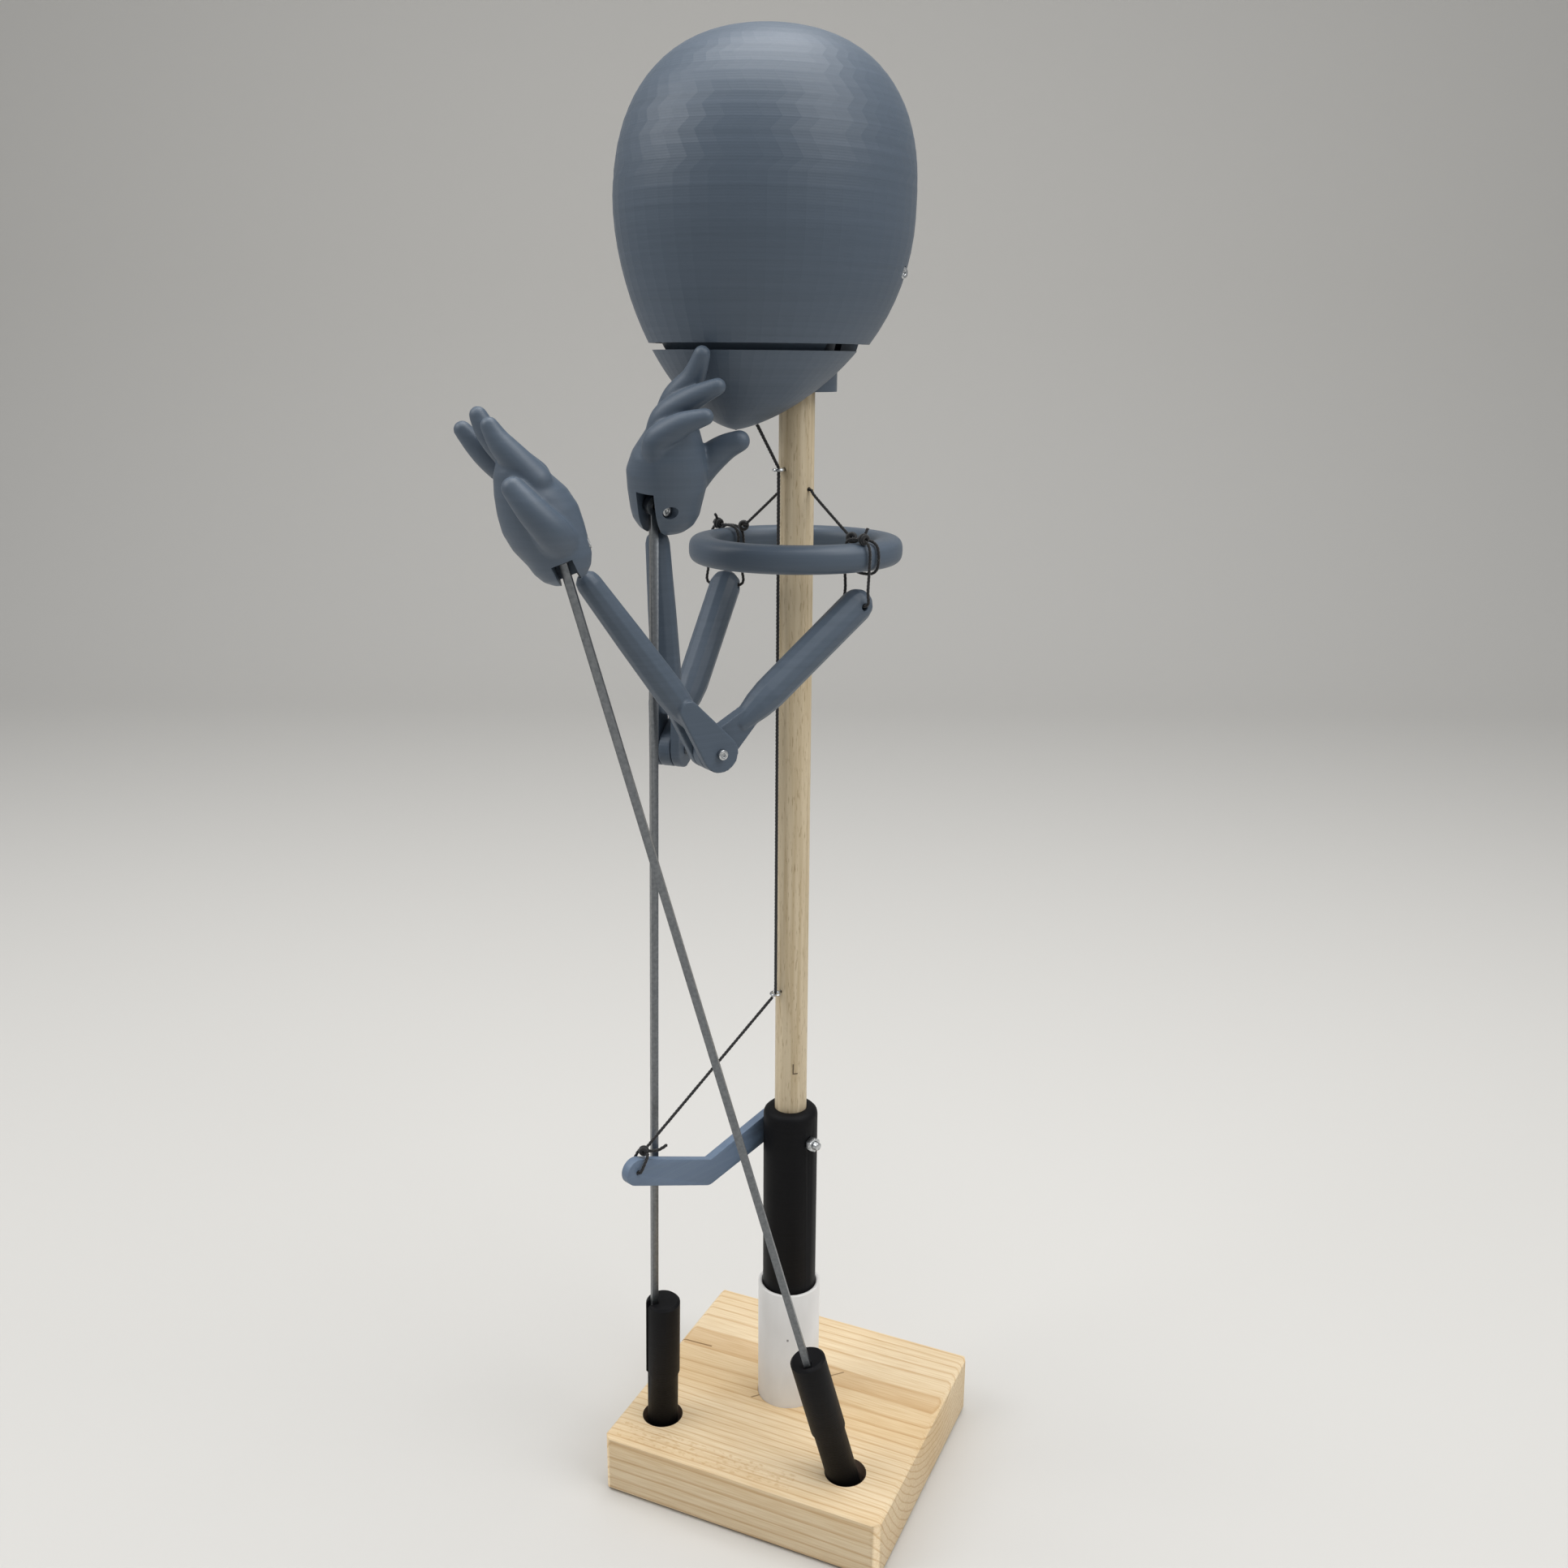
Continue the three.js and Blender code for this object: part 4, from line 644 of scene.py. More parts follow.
@dataclass(frozen=True)
class PlanedPine(Finish):
    """Planed pine with its grain along X, sawn below the pith.

    The eye sees straight pale and amber lines along the faces, curved year rings on the ends, fine fibres,
    rows of small tears along the front edge, a check at the left and the pencilled diagonal that found
    the middle. The walls of the drilled holes get painted shade, a dark brown.
    """

    early: str
    late: str
    ring: float = 4.6
    wander: float = 7.0
    pith: Point = (0.0, 27.0, 98.0)
    top: float = 40.6
    holes: tuple[tuple[float, float], ...] = ((-64.0, -57.0), (64.0, -57.0))
    hole_radius: float = 13.0

    def paint(self, brush: Painter) -> None:
        """Draws year rings about a line along X, fibres along it, the marks of use and painted shade in the
        holes.

        Args:
            brush: adds the material's nodes.
        """
        pith = tuple(v * MM for v in self.pith)
        centred = brush.add("VectorMath", {0: brush.own, 1: pith}, operation="SUBTRACT")
        slow = brush.add("Mapping", {"Vector": centred, "Scale": (0.1, 1.0, 1.0)})
        wander = brush.add("TexNoise", {"Vector": slow, "Scale": grains(40), "Detail": 2.0}, "Color")
        nudge = brush.add("VectorMath", {0: wander, "Scale": self.wander * MM}, operation="SCALE")
        rings = brush.add("TexWave", {
            "Vector": brush.add("VectorMath", {0: slow, 1: nudge}, operation="ADD"), "Scale": bands(self.ring),
            "Distortion": 0.4, "Detail": 2.0, "Detail Scale": 1.5}, "Fac",
            wave_type="RINGS", rings_direction="X", wave_profile="SAW")
        long = brush.add("Mapping", {"Vector": brush.own, "Scale": (0.04, 1.0, 1.0)})
        fibres = brush.add("TexNoise", {"Vector": long, "Scale": grains(1.1), "Detail": 4.0})
        stain = brush.add("TexNoise", {"Vector": slow, "Scale": grains(55), "Detail": 3.0})
        tone = brush.add("ValToRGB", {"Fac": rings}, stops=(
            (0.0, self.early), (0.7, self.early), (0.93, self.late), (1.0, self.early)))
        streak = brush.add("ValToRGB", {"Fac": fibres}, stops=((0.3, "#dcc7a4"), (0.62, "#ffffff")))
        cast = brush.add("ValToRGB", {"Fac": stain}, stops=((0.35, "#efe0c6"), (0.65, "#ffffff")))
        layers = [("MULTIPLY", 0.45, streak), ("MULTIPLY", 0.6, cast), ("MIX", self.tears(brush), "#bd9662")]
        for start, end, width, tint in (((-18.5, -18.5), (28, 30.5), 1.1, "#957a55"),
                                        ((-90, 17), (-66, 18), 1.3, "#8f6f47")):
            layers.append(("MIX", brush.mark((*start, self.top), (*end, self.top), width, UP), tint))
        # Painted shade: the walls and floor of the drilled holes are made dark brown.
        layers += [("MIX", self.painted_hole_shade(brush, hole), "#3b2a19") for hole in self.holes]
        for how, share, tint in layers:
            tone = brush.add("Mix", {0: share, 6: tone, 7: tint}, 2, data_type="RGBA", blend_type=how)
        brush.surface({
            "Base Color": tone, "Roughness": 0.62, "IOR": 1.5,
            "Normal": brush.add("Bump", {"Height": fibres, "Strength": 0.4, "Distance": 0.15 * MM})})

    def tears(self, brush: Painter) -> Socket:
        """Gives a mask of small spots in a strip along the front edge of the top.

        Args:
            brush: adds the material's nodes.

        Returns:
            The mask's socket.
        """
        short = brush.add("Mapping", {"Vector": brush.own, "Scale": (0.55, 1.0, 1.0)})
        spots = brush.add("TexNoise", {"Vector": short, "Scale": grains(1.9), "Detail": 1.0})
        spots = brush.add("MapRange", {"Value": spots, "From Min": 0.52, "From Max": 0.7, "To Max": 0.45})
        strip = brush.mark((-82, -80, self.top), (38, -80, self.top), 15, UP)
        return brush.add("Math", {0: spots, 1: strip}, operation="MULTIPLY")

    def painted_hole_shade(self, brush: Painter, middle: tuple[float, float]) -> Socket:
        """Gives a mask that is 1 on the wall and floor of a drilled hole, where painted shade goes.

        Args:
            brush: adds the material's nodes.
            middle: X and Y of the hole's middle.

        Returns:
            The mask's socket.
        """
        place = (middle[0] * MM, middle[1] * MM, 0.0)
        offset = brush.add("VectorMath", {0: brush.own, 1: place}, operation="SUBTRACT")
        level = brush.add("VectorMath", {0: offset, 1: (1.0, 1.0, 0.0)}, operation="MULTIPLY")
        reach = brush.add("VectorMath", {0: level}, "Value", operation="LENGTH")
        return brush.add("Math", {0: reach, 1: self.hole_radius * MM}, operation="LESS_THAN")


@dataclass(frozen=True)
class HardwoodDowel(Finish):
    """Bare hardwood dowel, moulded round and lightly sanded.

    The eye sees long close grain with short dark pores, a hand-worn sheen and a small pencil tick
    above the grip.
    """

    colour: str
    pore: str
    near: float = 9.0
    tick: tuple[tuple[tuple[float, float], ...], ...] = (
        ((1.4, 283), (1.4, 276)), ((1.4, 276.4), (4.2, 276.4)))

    def paint(self, brush: Painter) -> None:
        """Draws long grain along Z, short pores in it and the tick on the side to the camera.

        Args:
            brush: adds the material's nodes.
        """
        long = brush.add("Mapping", {"Vector": brush.own, "Scale": (1.0, 1.0, 0.03)})
        short = brush.add("Mapping", {"Vector": brush.own, "Scale": (1.0, 1.0, 0.12)})
        grain = brush.add("TexNoise", {"Vector": long, "Scale": grains(2.6), "Detail": 4.0})
        pores = brush.add("TexNoise", {"Vector": short, "Scale": grains(0.9), "Detail": 2.0})
        tone = brush.add("ValToRGB", {"Fac": grain}, stops=((0.3, self.pore), (0.62, self.colour)))
        dark = brush.add("ValToRGB", {"Fac": pores}, stops=((0.3, "#b5a386"), (0.42, "#ffffff")))
        layers = [("MULTIPLY", 0.5, dark)]
        for stroke in self.tick:
            a, b = (Vector(TO_CAMERA) * self.near + Vector(PICTURE_RIGHT) * x + Vector(UP) * z
                    for x, z in stroke)
            layers.append(("MIX", brush.mark(tuple(a), tuple(b), 0.9, TO_CAMERA), "#6b5a44"))
        for how, share, tint in layers:
            tone = brush.add("Mix", {0: share, 6: tone, 7: tint}, 2, data_type="RGBA", blend_type=how)
        brush.surface({
            "Base Color": tone, "Roughness": 0.5, "IOR": 1.5,
            "Normal": brush.add("Bump", {"Height": pores, "Strength": 0.3, "Distance": 0.1 * MM})})


@dataclass(frozen=True)
class WhitePvc(Finish):
    """Extruded PVC drain pipe: smooth and milky, with faint draw lines, soft grey marks and one nick."""

    colour: str
    grime: str

    def paint(self, brush: Painter) -> None:
        """Puts draw lines along Z and soft grey marks on a milky white.

        Args:
            brush: adds the material's nodes.
        """
        loose = brush.add("Mapping", {"Vector": brush.own, "Scale": (1.0, 1.0, 0.4)})
        long = brush.add("Mapping", {"Vector": brush.own, "Scale": (1.0, 1.0, 0.02)})
        marks = brush.add("TexNoise", {"Vector": loose, "Scale": grains(30), "Detail": 3.0})
        lines = brush.add("TexNoise", {"Vector": long, "Scale": grains(1.6), "Detail": 1.0})
        tone = brush.add("ValToRGB", {"Fac": marks}, stops=((0.3, self.grime), (0.6, self.colour)))
        nick = brush.mark((7.5, -18.5, 91), (7.5, -18.5, 92.6), 1.3, TO_CAMERA)
        brush.surface({
            "Base Color": brush.add("Mix", {0: nick, 6: tone, 7: "#8d8a88"}, 2, data_type="RGBA"),
            "Normal": brush.add("Bump", {"Height": lines, "Strength": 0.2, "Distance": 0.05 * MM}),
            "Roughness": 0.36, "IOR": 1.53})


@dataclass(frozen=True)
class DrawnSteel(Finish):
    """Cold drawn steel, bare and a little tarnished, or zinc plated: metal with fine random scratches."""

    colour: str
    dull: str
    roughness: float

    def paint(self, brush: Painter) -> None:
        """Varies colour and gloss with the scratches.

        Args:
            brush: adds the material's nodes.
        """
        marks = brush.add("TexNoise", {"Vector": brush.own, "Scale": grains(1.8), "Detail": 5.0})
        brush.surface({
            "Base Color": brush.add("ValToRGB", {"Fac": marks}, stops=((0.3, self.dull), (0.65, self.colour))),
            "Roughness": brush.add("MapRange", {
                "Value": marks, "To Min": self.roughness + 0.12, "To Max": self.roughness - 0.06}),
            "Metallic": 1.0})


@dataclass(frozen=True)
class LaidCord(Finish):
    """Black polyester cord laid from strands: dull, with fibres that catch a little light."""

    colour: str
    fibre: str

    def paint(self, brush: Painter) -> None:
        """Puts fine fibres on a near black.

        Args:
            brush: adds the material's nodes.
        """
        fibres = brush.add("TexNoise", {"Vector": brush.own, "Scale": grains(0.35), "Detail": 3.0})
        brush.surface({
            "Base Color": brush.add("ValToRGB", {"Fac": fibres},
                                    stops=((0.4, self.colour), (0.75, self.fibre))),
            "Roughness": 0.85, "Sheen Weight": 0.3})


SLATE = PrintedPla("slate_pla_printed", "#505c6a", "#4a5663", depth=0.03)
HAND_SLATE = PrintedPla("slate_pla_printed_fine", "#505c6a", "#4b5764", layer=0.9, depth=0.02)
LEVER_GREY = PrintedPla("pale_slate_pla_printed", "#6a7b8f", "#62738a", layer=1.0, depth=0.03)
BLACK_PLA = PrintedPla("black_pla_printed", "#121214", "#0c0c0e", layer=1.2, roughness=0.55, gloss=0.15)
PINE = PlanedPine("pine_planed", "#e3cfad", "#cfb188")
DOWEL = HardwoodDowel("hardwood_dowel_sanded", "#d6c5a6", "#c2ae8b")
PVC = WhitePvc("pvc_pipe_extruded", "#e6e4e1", "#d8d5d1")
ROD_STEEL = DrawnSteel("steel_rod_drawn", "#7d8083", "#6c7074", 0.36)
ZINC = DrawnSteel("steel_zinc_plated", "#d3d5d6", "#a6a9ab", 0.26)
CORD = LaidCord("polyester_cord_laid", "#0e0e0f", "#2b2b2d")


# Sub-assemblies


def turned(x: float, y: float, z: float) -> Vector:
    """Gives the place of a point of the puppet's own frame, which is turned on the stand."""
    return Matrix.Rotation(radians(PUPPET_TURN), 4, "Z") @ Vector((x, y, z))


def dressed_copy(node: str, finish: Finish, edge: float, crease: float = 40) -> None:
    """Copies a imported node, rounds its edges where a width is given, and dresses it.

    Args:
        node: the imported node.
        finish: what it is made of.
        edge: width of the rounding, or 0 for none.
        crease: the angle in degrees above which an edge stays sharp.
    """
    piece = copy_of(node)
    if edge:
        ease(piece, edge)
    place(piece, node, finish, crease)


def lay_cord(name: str, node: str, shells: Iterable[Shell], blend: Blend | None = None) -> None:
    """Makes one piece of cord from its shells and dresses it."""
    place(new_object(name, merged(shells)), node, CORD, 60, blend)


@dataclass
class Stand:
    """The board that carries everything and the pipe that the grip stands in."""

    edge: float = 0.6
    corner: float = 8.0
    corner_steps: int = 10
    skim: float = 0.05
    pipe_radius: float = 20.0
    pipe_wall: float = 2.4
    pipe_top: float = 124.3
    pipe_bottom: float = 25.9
    pipe_lip: float = 0.5

    def build(self) -> None:
        """Builds and dresses board and pipe."""
        board = copy_of("base_board")
        (left, near, _), (right, back, _) = ([v / MM for v in corner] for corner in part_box("base_board"))
        outline = []
        for i, (x, y) in enumerate(((left, near), (right, near), (right, back), (left, back))):
            inward = Vector((1 if x == left else -1, 1 if y == near else -1)) * (self.corner - self.skim)
            turns = [pi * (1 + i / 2 + k / (2 * self.corner_steps)) for k in range(self.corner_steps + 1)]
            outline += [(x + inward.x + self.corner * cos(t), y + inward.y + self.corner * sin(t))
                        for t in turns]
        combine(board, "INTERSECT", loft([[Vector((x, y, z)) for x, y in outline] for z in (-10, 90)]))
        ease(board, self.edge)
        place(board, "base_board", PINE, 32)
        outer, inner, lip = self.pipe_radius, self.pipe_radius - self.pipe_wall, self.pipe_lip
        pipe = new_object("stand_pipe", lathe([
            (inner, self.pipe_bottom), (outer, self.pipe_bottom), (outer, self.pipe_top - lip),
            (outer - lip, self.pipe_top), (inner + lip, self.pipe_top), (inner, self.pipe_top - lip)], 96))
        place(pipe, "stand_tube", PVC, 50)


@dataclass
class MainRod:
    """The dowel with its grip, the trigger and the small hardware on it."""

    edge: float = 0.3
    lever_edge: float = 0.9
    bolt_edge: float = 0.35

    def build(self) -> None:
        """Builds and dresses the dowel, the grip, the lever and their screws."""
        dressed_copy("main_rod", DOWEL, self.edge)
        dressed_copy("grip", BLACK_PLA, self.edge)
        dressed_copy("trigger_lever", LEVER_GREY, self.lever_edge)
        bolt = self.bolt_edge
        for node, edge in (("trigger_bolt", bolt), ("trigger_nut", bolt), ("lower_screw_eye", 0),
                           ("upper_screw_eye", 0), ("neck_screw", bolt)):
            dressed_copy(node, ZINC, edge, 45)


@dataclass
class Head:
    """Face shell, back cover and jaw of one egg, and the neck that carries them.

    The egg was printed from a mesh of flat facets, so its skin keeps them.
    """

    half_width: float = 74.0
    half_depth: float = 84.0
    widest: float = 780.01
    top: float = 864.5
    chin: float = 664.0
    forward: float = 24.5
    chin_forward: float = 20.0
    crown_back: float = 5.0
    wall: float = 2.8
    mouth: float = 708.0
    mouth_gap: float = 3.5
    split: float = 31.0
    split_gap: float = 0.3
    cover_bottom: float = 766.0
    hinge: tuple[float, float] = (20.0, 746.0)
    ear_inside: float = 29.5
    ear_thickness: float = 4.5
    ear_room: float = 2.5
    jaw_inset: float = 1.5
    jaw_forward: float = 2.5
    jaw_swing: float = 12.0
    plate: tuple[float, float] = (757.6, 761.6)
    spigot: float = 14.3
    screw_sink: float = 2.2
    boss: float = 6.0
    hinge_hole: float = 1.8
    hinge_seat: float = 3.3
    ear_hole: float = 2.0
    neck_notches: tuple[Point, ...] = ((24.5, 22, 682), (12.5, 10, 659))
    notch_room: float = 1.5
    cord_hole: tuple[float, float] = (31.0, 1.3)
    lap: float = 5.0
    crown_power: float = 2.4
    chin_power: float = 0.65
    far: float = 300.0
    above: float = 999.0
    sides: int = 52
    rows: int = 30
    row_turn: float = 0.618
    level_rows: float = 12.0
    tip: float = 0.004
    least: float = 0.4
    facet: float = 2.0

    def section(self, height: float) -> tuple[float, float]:
        """Gives how wide the egg is at a height, against its widest, and how far forward.

        Args:
            height: above the floor.

        Returns:
            The share of the widest, and the way forward.
        """
        if height >= self.widest:
            rise = min(1.0, (height - self.widest) / (self.top - self.widest))
            power = self.crown_power
            return (1 - rise**power) ** (1 / power), self.forward - self.crown_back * rise
        fall = min(1.0, (self.widest - height) / (self.widest - self.chin))
        return (1 - fall**2) ** self.chin_power, self.forward + self.chin_forward * fall**3

    def egg(self, inset: float, low: float, high: float, ahead: float = 0.0) -> Shell:
        """Gives the egg, taken in by an inset, between two heights.

        Args:
            inset: how much smaller it is all round.
            low: where it starts.
            high: where it ends.
            ahead: how much further forward it lies.

        Returns:
            A closed shell.
        """
        chin, crown = self.chin + inset, self.top - inset
        low, high = max(low, chin), min(high, crown)

        def angle(z: float) -> float:
            """Gives the turn from the widest row to a height."""
            reach = crown - self.widest if z >= self.widest else self.widest - chin
            return asin(max(-1.0, min(1.0, (z - self.widest) / reach)))

        first, last = angle(low), angle(high)
        start, end = 0.0 if low > chin else self.tip, 1.0 if high < crown else 1 - self.tip
        rings = []
        for r in range(self.rows + 1):
            share = min(max(r / self.rows, start), end)
            turn = first + (last - first) * share
            z = self.widest + sin(turn) * (crown - self.widest if turn >= 0 else self.widest - chin)
            scale, lean = self.section(self.chin + (z - chin) / (crown - chin) * (self.top - self.chin))
            a, b = (max(half * scale - inset, self.least) for half in (self.half_width, self.half_depth))
            # Rows of the crown are turned out of step, so that its facets don't line up.
            crown_row = z > self.widest + self.level_rows
            turn = 2 * pi / self.sides * (self.row_turn * r % 1) if crown_row else 0.0
            rings.append([turned(a * cos(t + turn), -lean - ahead + b * sin(t + turn), z)
                          for t in spread(self.sides)])
        return loft(rings)

    def hinge_reach(self) -> float:
        """Gives the head's half width beside the hinge.

        Returns:
            The half width.
        """
        scale, lean = self.section(self.hinge[1])
        depth = (self.hinge[0] + lean) / (self.half_depth * scale)
        return self.half_width * scale * sqrt(1 - depth**2)

    def room(self, low: Point, high: Point) -> Shell:
        """Gives a box in the puppet's frame.

        Args:
            low: its least corner.
            high: its greatest corner.

        Returns:
            A closed shell.
        """
        (left, near, bottom), (right, back, top) = low, high
        ring = ((left, near), (right, near), (right, back), (left, back))
        return loft([[turned(x, y, z) for x, y in ring] for z in (bottom, top)])

    def across(self, radius: float, start: float, end: float) -> Shell:
        """Gives a round bar on the hinge's line."""
        y, z = self.hinge
        return bar(turned(start, y, z), turned(end, y, z), radius)

    def mouth_lip(self, rim: float) -> Piece:
        """Builds the lip inside the jaw's rim, which shuts the mouth to light, on its ledge.

        Args:
            rim: height of the jaw's rim.

        Returns:
            The object.
        """
        foot, top, back = rim - 3, rim + self.mouth_gap + 1.2, -28.0
        outside = self.wall + 2.6
        lip = new_object("mouth_lip", self.egg(outside, foot, top))
        combine(lip, "UNION", self.egg(self.jaw_inset + self.wall / 2, foot, rim - 1, self.jaw_forward))
        combine(lip, "DIFFERENCE", self.egg(outside + 1.6, foot - 1, top + 1))
        combine(lip, "INTERSECT", self.room((-self.far, -self.far, 600), (self.far, back, 800)))
        return lip

    def build(self) -> None:
        """Builds and dresses the shells, the jaw, the neck and the hinge screws."""
        far, above, bottom = self.far, self.above, self.mouth + self.mouth_gap / 2
        seat = self.hinge_reach() - self.screw_sink
        ear = self.ear_inside + self.ear_thickness
        beside = ear + self.ear_room
        front = new_object("face_shell", self.egg(0, bottom, above))
        combine(front, "DIFFERENCE", self.egg(self.wall, bottom - 1, above),
                self.room((-far, self.split, 500), (far, far, above)),
                self.room((-beside, 5, 600), (beside, far, self.cover_bottom - 2)))
        floor = new_object("floor_plate", self.egg(self.wall / 2, bottom, above))
        combine(floor, "INTERSECT", self.room((-far, -far, self.plate[0]), (far, self.split, self.plate[1])))
        combine(floor, "DIFFERENCE", bar(Vector((0, 0, 700)), Vector((0, 0, 800)), self.spigot))
        combine(front, "UNION", floor)
        for s in (-1, 1):
            boss = new_object("boss", self.across(self.boss, s * (ear + 0.5), s * (seat + 0.5)))
            combine(boss, "INTERSECT", self.egg(0.3, bottom, above))
            combine(front, "UNION", boss)
        combine(front, "DIFFERENCE", self.across(self.hinge_hole, -far, far),
                *(self.across(self.hinge_seat, s * seat, s * far) for s in (-1, 1)))
        place(front, "head_front", SLATE, self.facet)
        self.back_cover(bottom)
        self.jaw_bowl()
        for node, finish in (("neck_socket", SLATE), ("left_hinge_screw", ZINC), ("right_hinge_screw", ZINC)):
            dressed_copy(node, finish, 0.4)

    def back_cover(self, bottom: float) -> None:
        """Builds the removable cover behind the split, with the lip and tongue that hold it.

        Args:
            bottom: height of the lower edge of the face.
        """
        far, above, split, low = self.far, self.above, self.split, self.cover_bottom
        start, inside = split + self.split_gap, self.wall + 2.3
        layers = []
        for name, inset, hollow, ends in (
                ("back_cover", 0, self.wall, (start, far)),
                ("lip", self.wall - 1, inside, (start, split + self.lap)),
                ("tongue", self.wall + self.split_gap, inside, (split - self.lap, split + self.lap))):
            layer = new_object(name, self.egg(inset, bottom, above))
            combine(layer, "DIFFERENCE", self.egg(hollow, bottom - 1, above))
            combine(layer, "INTERSECT", self.room((-far, ends[0], low), (far, ends[1], above)))
            layers.append(layer)
        cover, *rest = layers
        combine(cover, "UNION", *rest)
        place(cover, "head_back", SLATE, self.facet)

    def ear(self, sign: int, rim: float) -> Piece:
        """Builds the jaw's ear at one side, from its hinge down into the bowl.

        Args:
            sign: 1 or -1, for the side.
            rim: height of the jaw's rim.

        Returns:
            The object.
        """
        (y, z), foot, wide, slim = self.hinge, (0.0, rim - 8), 8.0, 5.5
        along = atan2(foot[1] - z, foot[0] - y)
        arc = [radians(-88 + 8.8 * k) for k in range(21)]
        outline = []
        for (cy, cz), radius, toward in (((y, z), wide, along + pi), (foot, slim, along)):
            outline += [(cy + radius * cos(toward + t), cz + radius * sin(toward + t)) for t in arc]
        ear = new_object("ear", loft([[turned(sign * x, a, b) for a, b in outline]
                                      for x in (self.ear_inside, self.ear_inside + self.ear_thickness)]))
        beside = new_object("beside", self.room((-self.far, -self.far, 500), (self.far, self.far, rim)))
        combine(beside, "DIFFERENCE", self.egg(self.jaw_inset, 0, rim + 20, self.jaw_forward))
        combine(ear, "DIFFERENCE", beside)
        return ear

    def jaw_bowl(self) -> None:
        """Builds the jaw: the lower egg as a bowl, open behind for the neck, with an ear at each side."""
        rim, far, swing = self.mouth - self.mouth_gap / 2, self.far, tan(radians(self.jaw_swing))
        jaw = new_object("jaw_bowl", self.egg(self.jaw_inset, 0, rim, self.jaw_forward))
        combine(jaw, "DIFFERENCE", self.egg(self.jaw_inset + self.wall, 0, rim + 1, self.jaw_forward))
        for half, neck, low in self.neck_notches:
            reach = neck + (self.hinge[1] - low) * swing + self.notch_room
            combine(jaw, "DIFFERENCE", self.room((-half, -reach, low), (half, far, self.above)))
        for s in (-1, 1):
            combine(jaw, "UNION", self.ear(s, rim))
        combine(jaw, "UNION", self.mouth_lip(rim))
        ahead, radius = self.cord_hole
        combine(jaw, "DIFFERENCE", self.across(self.ear_hole, -far, far),
                bar(turned(0, -ahead, 600), turned(0, -ahead, 700), radius))
        place(jaw, "jaw", SLATE, self.facet)


@dataclass
class ShoulderRing:
    """The printed ring that the arms hang on, with the cords that carry it and them."""

    height: float = 599.0
    radius: float = 52.0
    width: float = 17.0
    depth: float = 15.5
    softness: float = 0.72
    cord: float = 1.8
    cord_hole: float = 632.3
    knot: float = 2.3
    arm_half: float = 9.3

    def outline(self, grow: float, count: int) -> list[tuple[float, float]]:
        """Gives the ring's softly squared section, grown by a gap.

        Args:
            grow: the gap.
            count: points round it.

        Returns:
            Pairs of radius and height from the section's middle.
        """
        def soft(v: float) -> float:
            """Swells a circle's coordinate towards a square's."""
            return copysign(abs(v) ** self.softness, v)

        return [((self.width / 2 + grow) * soft(cos(t)), (self.depth / 2 + grow) * soft(sin(t)))
                for t in spread(count)]

    def build(self) -> None:
        """Builds and dresses the ring and the cord that hangs it on the dowel."""
        section = [(self.radius + r, self.height + z) for r, z in self.outline(-0.05, 32)]
        place(new_object("arm_ring", lathe(section, 128)), "shoulder_ring", SLATE, 60)
        gap, hole = self.cord / 2 + 0.5, self.cord_hole
        inner, top = self.radius - self.width / 2 - gap, self.height + self.depth / 2 + gap
        hanging = [(inner, top), (15.3, hole - 4), (11.8, hole - 0.2), (8, hole), (3, hole)]
        strand = [turned(-x, 0, z) for x, z in hanging]
        strand += [turned(x, 0, z) for x, z in reversed(hanging)]
        shells = [twisted(strand, self.cord)]
        for s in (-1, 1):
            loop = [turned(s * (self.radius + r), 0, self.height + z) for r, z in self.outline(gap, 14)]
            shells.append(twisted(loop, self.cord, True))
            shells.append(knot_ball(turned(s * inner, 0, top + 0.4), self.knot, self.cord, KNOT_AXIS))
        lay_cord("ring_hanger_cord", "ring_cord", shells)

    def tie(self, side: Side, shoulder: Vector, axis: Vector) -> None:
        """Builds the loop that hangs one arm.

        Args:
            side: whose arm.
            shoulder: middle of the arm's hole.
            axis: the line of that hole.
        """
        gap = self.cord / 2 + 0.6
        outward = Vector((shoulder.x, shoulder.y, 0)).normalized()
        axis = axis if axis.dot(outward) > 0 else -axis
        middle = outward * self.radius + Vector((0, 0, self.height))
        beside, w, d = self.arm_half + gap, self.width / 2 + gap, self.depth / 2 + gap
        up, rest = Vector(UP), 0.7

        def at(r: float, z: float) -> Vector:
            """Gives a place round the ring's section."""
            return middle + outward * r + up * z

        def hole(reach: float, z: float) -> Vector:
            """Gives a place along the arm's hole and above it."""
            return shoulder + axis * reach + up * z

        def half(s: int) -> list[Vector]:
            """Gives one side of the loop, from the hole up over the ring."""
            return [hole(s * beside * 0.75, rest), hole(s * (beside + 0.6), 3), hole(s * beside, 9),
                    at(s * w, -d / 2), at(s * w, d / 2), at(s * w * 0.6, d)]

        route = [hole(0, rest), *half(1), *reversed(half(-1))]
        knot, across = at(w * 0.5, d + 1.1), up.cross(outward)
        tail = [knot, knot + up * 3 + across * 1.2, knot + up * 5.6 + across * 2.8]
        lay_cord(side.named("arm_tie_cord"), side.named("shoulder_tie"), [
            twisted(route, self.cord, True), knot_ball(knot, self.knot, self.cord, outward),
            twisted(tail, self.cord)])


